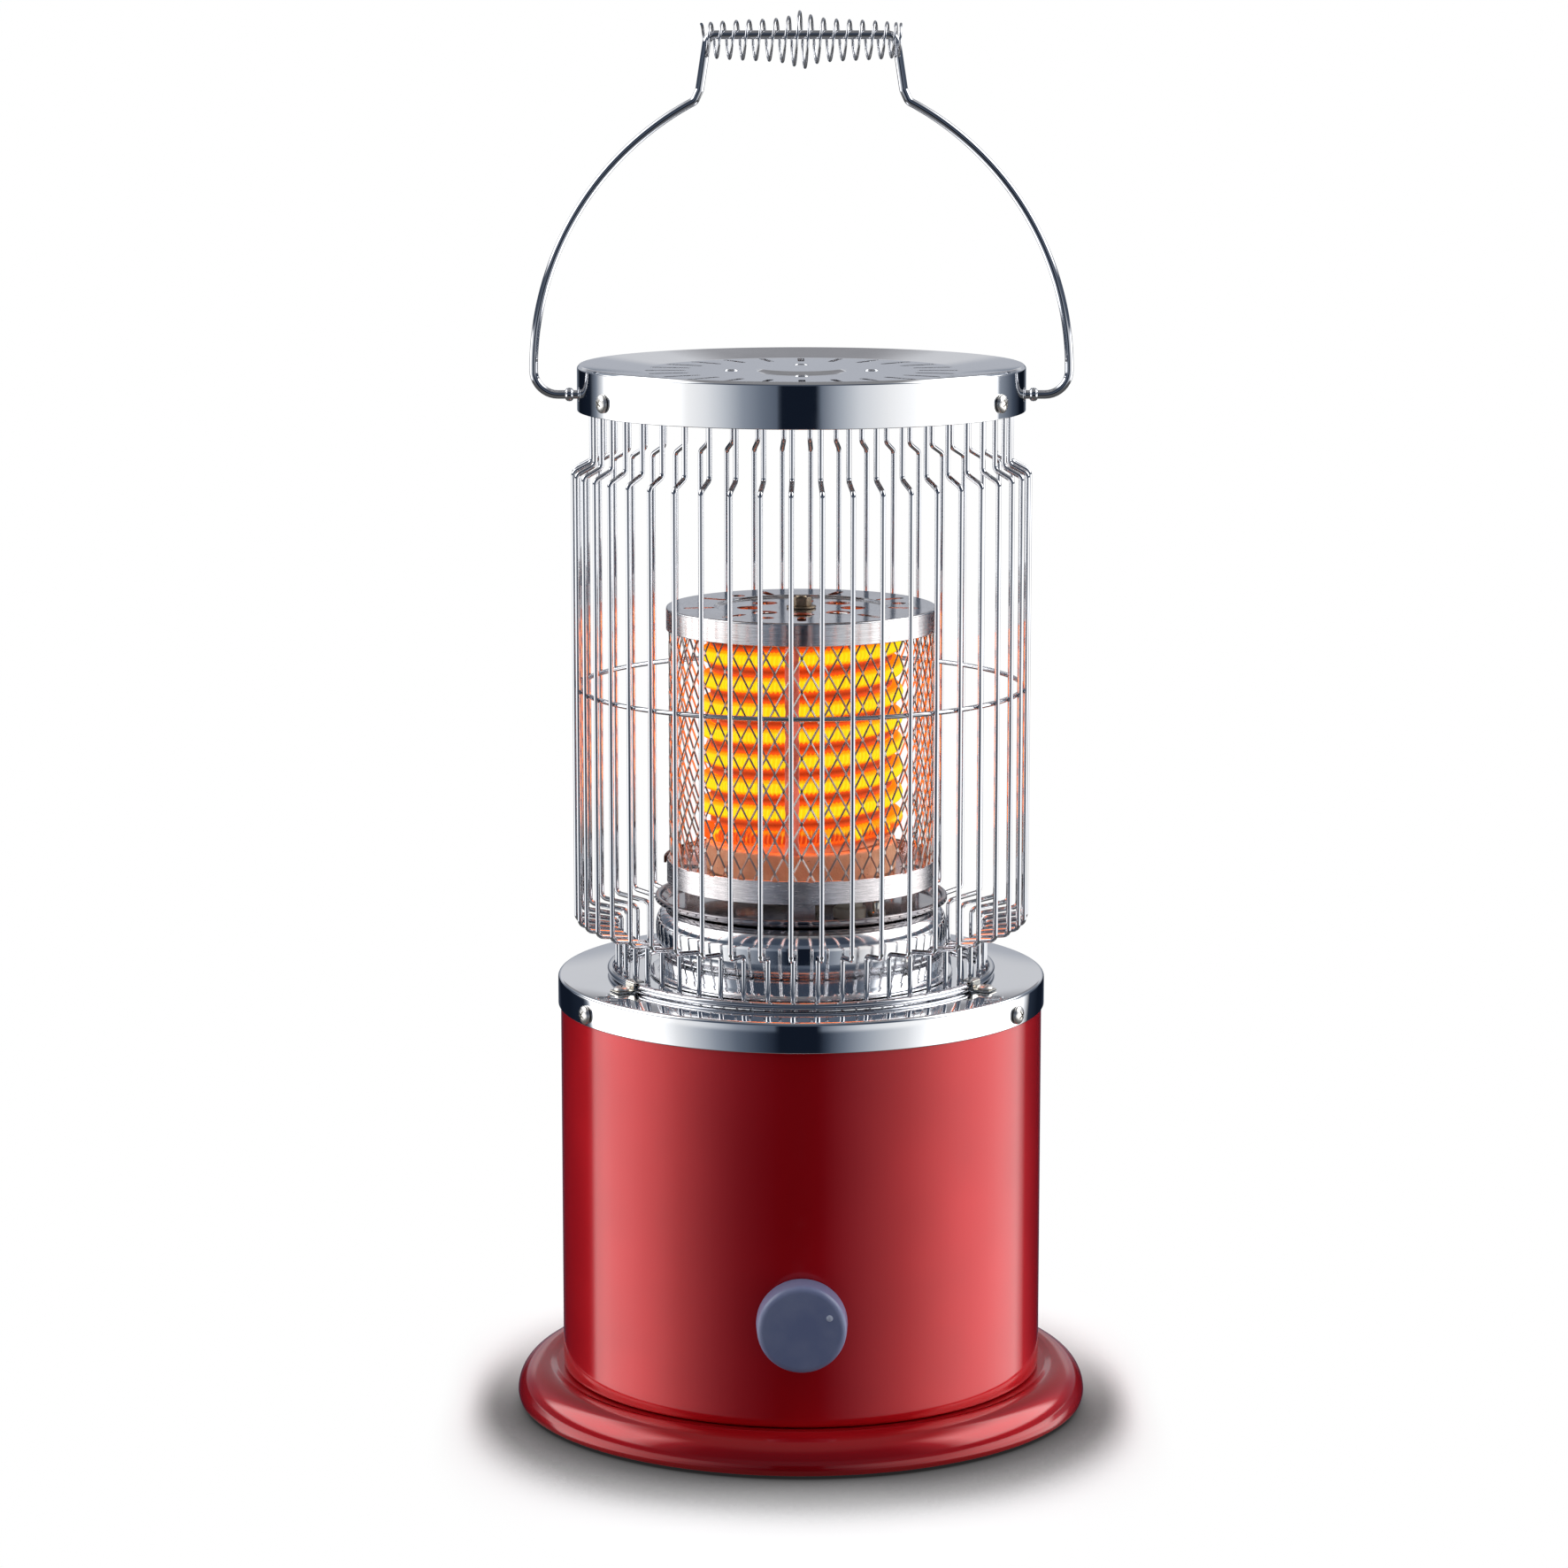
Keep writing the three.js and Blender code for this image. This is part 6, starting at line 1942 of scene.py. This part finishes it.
@dataclass
class Inside:
    """Gland, leads, switch and terminal block, which mostly keep their CAD shapes."""

    wall: float = 122.5

    def build(self) -> None:
        """Turns the gland."""
        ribs = []
        for i in range(6):
            place = 3.4 + 1.7 * i
            reach = 6.3 - 0.18 * i
            ribs += [
                (reach, place, 0.2), (reach, place + 0.9, 0.2), (reach - 0.9, place + 1.0, 0.1),
                (reach - 0.9, place + 1.6, 0.1),
            ]
        outline = profile([
            (3.6, -5), (7, -5), (8.6, -2.1, 0.3), (7, -2.1), (7, 0), (11, 0, 0.4), (11, 2.4, 0.8),
            (6.8, 2.6, 0.3), *ribs, (5.1, 14, 0.4), (3.6, 14, 0.4),
        ], 4)
        gland = Sketch().lathe(outline, Faces.SMALL).placed(
            Vector((0, self.wall, GLAND_HEIGHT)), Vector((0, 1, 0)),
        )
        dress(gland.build("gland_body"), RUBBER, Slot.RUBBER, "cord_gland")

    def dress_nodes(self, nodes: dict[str, Object]) -> None:
        """Gives the CAD pieces that stay in view their finishes.

        Args:
            nodes: The frame's CAD objects by name.
        """
        finishes = {
            "switch_shaft": NICKEL, "switch_nut": NICKEL, "rotary_switch": DARK_PLASTIC,
            "terminal_block": PORCELAIN, "lead_wire_1": SLEEVE, "lead_wire_2": SLEEVE,
        }
        for name, finish in finishes.items():
            for slot in nodes[name].material_slots:
                slot.material = finish.material()
            log.info("%s: CAD shape dressed", name)


# Brightness of the surroundings by azimuth in degrees, zero at the front
LOW_WALLS = (
    (-180, 0.22), (-170, 0.2), (-160, 0.006), (-138, 0.012), (-130, 0.22), (-123, 0.8), (-119, 1.7),
    (-105, 2.1), (-80, 1.9), (-60, 1.0), (-50, 0.85), (-40, 0.6), (-30, 0.31), (-20, 0.18), (-12, 0.12),
    (-11, 0.01), (8, 0.01), (9, 0.15), (20, 0.45), (30, 0.72), (45, 0.95), (60, 1.15), (80, 2.2),
    (105, 2.7), (116, 2.4), (121, 0.3), (138, 0.07), (150, 0.006), (160, 0.006), (170, 0.2), (180, 0.22),
)
LOWER_WALLS = (
    (-180, 0.1), (-170, 0.06), (-160, 0.01), (-142, 0.01), (-124, 0.02), (-120, 0.2), (-116, 1.7),
    (-108, 2.1), (-90, 1.9), (-70, 1.3), (-60, 0.85), (-50, 0.55), (-40, 0.3), (-30, 0.14), (-20, 0.06),
    (-12, 0.02), (-10, 0.01), (8, 0.01), (12, 0.05), (20, 0.18), (30, 0.38), (50, 0.8), (65, 1.35),
    (80, 1.8), (110, 2.0), (126, 1.8), (131, 0.8), (136, 0.03), (150, 0.01), (162, 0.01), (170, 0.06),
    (180, 0.1),
)
HIGH_WALLS = (
    (-180, 0.3), (-150, 0.3), (-134, 0.4), (-126, 3.2), (-76, 3.2), (-62, 0.3), (-45, 0.06), (45, 0.06),
    (62, 0.3), (76, 3.7), (126, 3.7), (134, 0.4), (150, 0.3), (180, 0.3),
)
FRONT_WALLS = (
    (-180, 0.3), (-130, 0.1), (-100, 0.08), (-60, 0.1), (-30, 0.14), (30, 0.14), (60, 0.12), (100, 0.1),
    (130, 0.12), (180, 0.3),
)
# Grey of the wall behind by its rise as a share of a right angle
BACK_WALL = (
    (0.0, (0.42, 0.44, 0.49, 1)), (9 / 90, (0.44, 0.46, 0.51, 1)), (11 / 90, (0.62, 0.63, 0.66, 1)),
    (14 / 90, (0.62, 0.63, 0.66, 1)), (16 / 90, (0.29, 0.29, 0.31, 1)), (21 / 90, (0.26, 0.26, 0.28, 1)),
    (32 / 90, (0.25, 0.25, 0.26, 1)), (60 / 90, (0.3, 0.3, 0.31, 1)),
)
# Tone of the floor's painted shadow by how open its sky is
SHADOW_TONES = (
    (0.3, 0.03), (0.6, 0.1), (0.7, 0.16), (0.73, 0.25), (0.77, 0.36), (0.815, 0.64), (0.84, 0.87),
    (0.87, 1.0),
)


@dataclass
class Studio:
    """Camera, pale surroundings and floor."""

    camera_place: tuple[float, float, float] = (-0.0087, -2.3212, 0.7124)
    pitch: float = 9.63
    lens: float = 106.9
    floor_radius: float = 6.0
    floor_level: float = 0.0
    floor_fade: Point = (0.22, 0.36)
    shadow_reach: float = 0.3
    shadow_shift: float = 0.01
    shadow_edge: float = 0.146
    shadow_side: float = 0.034
    shadow_front: float = 0.1

    def camera(self) -> None:
        """Sets the camera at the photograph's point of view."""
        data = bpy.data.cameras.new("camera")
        data.sensor_width = 36.0
        data.lens = self.lens
        data.clip_end = 60.0
        camera = bpy.data.objects.new("camera", data)
        camera.location = self.camera_place
        camera.rotation_euler = (math.radians(90 - self.pitch), 0, 0)
        bpy.context.scene.collection.objects.link(camera)
        bpy.context.scene.camera = camera

    def around(self, canvas: Canvas, turn: NodeSocket, levels: Sequence[Point]) -> NodeSocket:
        """Lays brightness round the horizon.

        Args:
            canvas: The world's tree.
            turn: Azimuth as a share of a full turn, a half at the front.
            levels: Azimuths in degrees from -180 on, each with its brightness.

        Returns:
            The brightness as a colour.
        """
        peak = max(level for _, level in levels)
        stops = []
        for azimuth, level in levels:
            colour = (level**1.1, level, level**0.86) if level < 1 else (level,) * 3
            stops.append((azimuth / 360 + 0.5, (*(part / peak for part in colour), 1.0)))
        return canvas.blend(1.0, canvas.ramp(turn, stops), (peak, peak, peak, 1.0), "MULTIPLY")

    def surroundings(self) -> None:
        """Lays out the walls that the chrome shows: low ones, high soft boxes beside, and a grey back."""
        world = bpy.data.worlds.new("studio")
        world.use_nodes = True
        bpy.context.scene.world = world
        canvas = Canvas(world.node_tree)
        canvas.tree.nodes.clear()
        direction = canvas.add("ShaderNodeTexCoord").outputs["Generated"]
        turn = canvas.math("MULTIPLY_ADD", canvas.azimuth(direction), 1 / 360, 0.5)
        _, _, up = canvas.split(direction)
        rise = canvas.math("DEGREES", canvas.math("ARCSINE", up))
        low = self.around(canvas, turn, LOW_WALLS)
        lower = self.around(canvas, turn, LOWER_WALLS)
        low = canvas.blend(canvas.span(rise, -7, -9.5), low, lower)
        high = self.around(canvas, turn, HIGH_WALLS)
        level = self.around(canvas, turn, FRONT_WALLS)
        back = canvas.ramp(canvas.math("MULTIPLY_ADD", rise, 1 / 90, 0.0, clamp=True), BACK_WALL)
        beside = canvas.math("ABSOLUTE", canvas.azimuth(direction))
        upper = canvas.blend(canvas.span(beside, 140, 162), high, back)
        brow = canvas.math("MULTIPLY", canvas.span(rise, 0.5, 4), canvas.span(rise, 19, 13))
        ahead = canvas.math("MULTIPLY", brow, canvas.span(beside, 162, 146))
        walls = canvas.blend(ahead, canvas.blend(canvas.span(rise, 0, 4), low, upper), level)
        capped = canvas.blend(canvas.span(rise, 42, 62), walls, (0.25, 0.25, 0.26, 1.0))
        colour = canvas.blend(canvas.span(rise, -20, -26), capped, (0.12, 0.12, 0.12, 1.0))
        seen = canvas.add("ShaderNodeLightPath").outputs["Is Camera Ray"]
        shown = canvas.blend(seen, colour, WHITE)
        sky = canvas.add("ShaderNodeBackground", {"Color": shown, "Strength": 1.0})
        canvas.add("ShaderNodeOutputWorld", {"Surface": sky.outputs[0]})

    def shadow(self, canvas: Canvas, place: NodeSocket) -> tuple[NodeSocket, NodeSocket]:
        """Lays out the soft shadow under the object, partly real occlusion and partly painted as an oval that
        reaches furthest in front.

        Args:
            canvas: The floor's tree.
            place: Position on the floor in metres.

        Returns:
            The floor's tone, and how far out each point is, from 0 at the shadow's edge.
        """
        open_sky = canvas.add(
            "ShaderNodeAmbientOcclusion", {"Distance": self.shadow_reach}, samples=48,
        ).outputs["AO"]
        tone = canvas.ramp(open_sky, [(share, (level, level, level, 1.0)) for share, level in SHADOW_TONES])
        across, depth, _ = canvas.split(place)
        # Painted: the shadow is lightened behind the object by position.
        grey = canvas.blend(canvas.span(depth, -0.06, 0.1, 0.0, 0.6), tone, WHITE)
        # Painted: an oval by position bounds the shadow.
        forward = canvas.math("ADD", depth, self.shadow_shift)
        ring = canvas.math(
            "SQRT", canvas.math("MULTIPLY_ADD", across, across, canvas.math("MULTIPLY", forward, forward)),
        )
        share = canvas.math("DIVIDE", forward, ring)
        facing = canvas.math("MULTIPLY", share, share)
        edge = canvas.math("MULTIPLY_ADD", facing, -0.008, self.shadow_edge)
        width = canvas.math("MULTIPLY_ADD", facing, self.shadow_front, self.shadow_side)
        spill = canvas.math("DIVIDE", canvas.math("SUBTRACT", ring, edge), width)
        tone = canvas.blend(canvas.span(spill, 0.27, 0.9), grey, WHITE)
        return tone, spill

    def floor(self) -> None:
        """Lays a round pale floor with a painted shadow under the object; it fades into the white
        surroundings.
        """
        rings = [[polar(reach * 1000, azimuth, self.floor_level) for azimuth in spread(96)]
                 for reach in (0.001, 0.1, 0.3, 0.6, 1.0, 2.0, self.floor_radius)]
        floor = Sketch().grid(rings).build("floor")
        material = bpy.data.materials.new("pale_floor")
        material.use_nodes = True
        canvas = Canvas(material.node_tree)
        canvas.tree.nodes.clear()
        place = canvas.place()
        far = canvas.span(canvas.length(place), *self.floor_fade)
        grey, spill = self.shadow(canvas, place)
        open_floor = canvas.math("MAXIMUM", far, canvas.span(spill, 0.55, 1.2))
        # The shadow's tone is painted into both the floor's colour and its glow towards the camera.
        matt = canvas.add(
            "ShaderNodeBsdfDiffuse", {"Color": canvas.blend(1.0, grey, (0.6, 0.6, 0.6, 1.0), "MULTIPLY")},
        )
        plain = canvas.add("ShaderNodeEmission", {"Color": WHITE, "Strength": 1.0})
        seen = canvas.add("ShaderNodeLightPath").outputs["Is Camera Ray"]
        lift = canvas.add(
            "ShaderNodeEmission", {"Color": grey, "Strength": canvas.math("MULTIPLY", seen, 0.55)},
        )
        near = canvas.add("ShaderNodeAddShader", {0: matt.outputs[0], 1: lift.outputs[0]})
        mixed = canvas.add("ShaderNodeMixShader", {
            0: canvas.math("MULTIPLY", open_floor, seen), 1: near.outputs[0], 2: plain.outputs[0],
        })
        canvas.add("ShaderNodeOutputMaterial", {"Surface": mixed.outputs[0]})
        floor.data.materials.append(material)
        floor.visible_glossy = False
        floor.visible_diffuse = False

    def build(self) -> None:
        """Builds the camera, the surroundings and the floor."""
        self.camera()
        self.surroundings()
        self.floor()
        bpy.context.scene.view_settings.view_transform = "Standard"


def main() -> None:
    """Builds every sub-assembly in order and reports each piece."""
    logging.basicConfig(level=logging.INFO, format="%(name)s: %(message)s")
    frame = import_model()
    Studio().build()
    inside = Inside()
    steps: list[Callable[[], None]] = [
        Base().build, Pedestal().build, Core().build, Guard().build, Cap().build, Bail().build, Knob().build,
        Screws().build, inside.build,
    ]
    for step in steps:
        step()
    inside.dress_nodes(frame["nodes"])


if __name__ == "__main__":
    main()
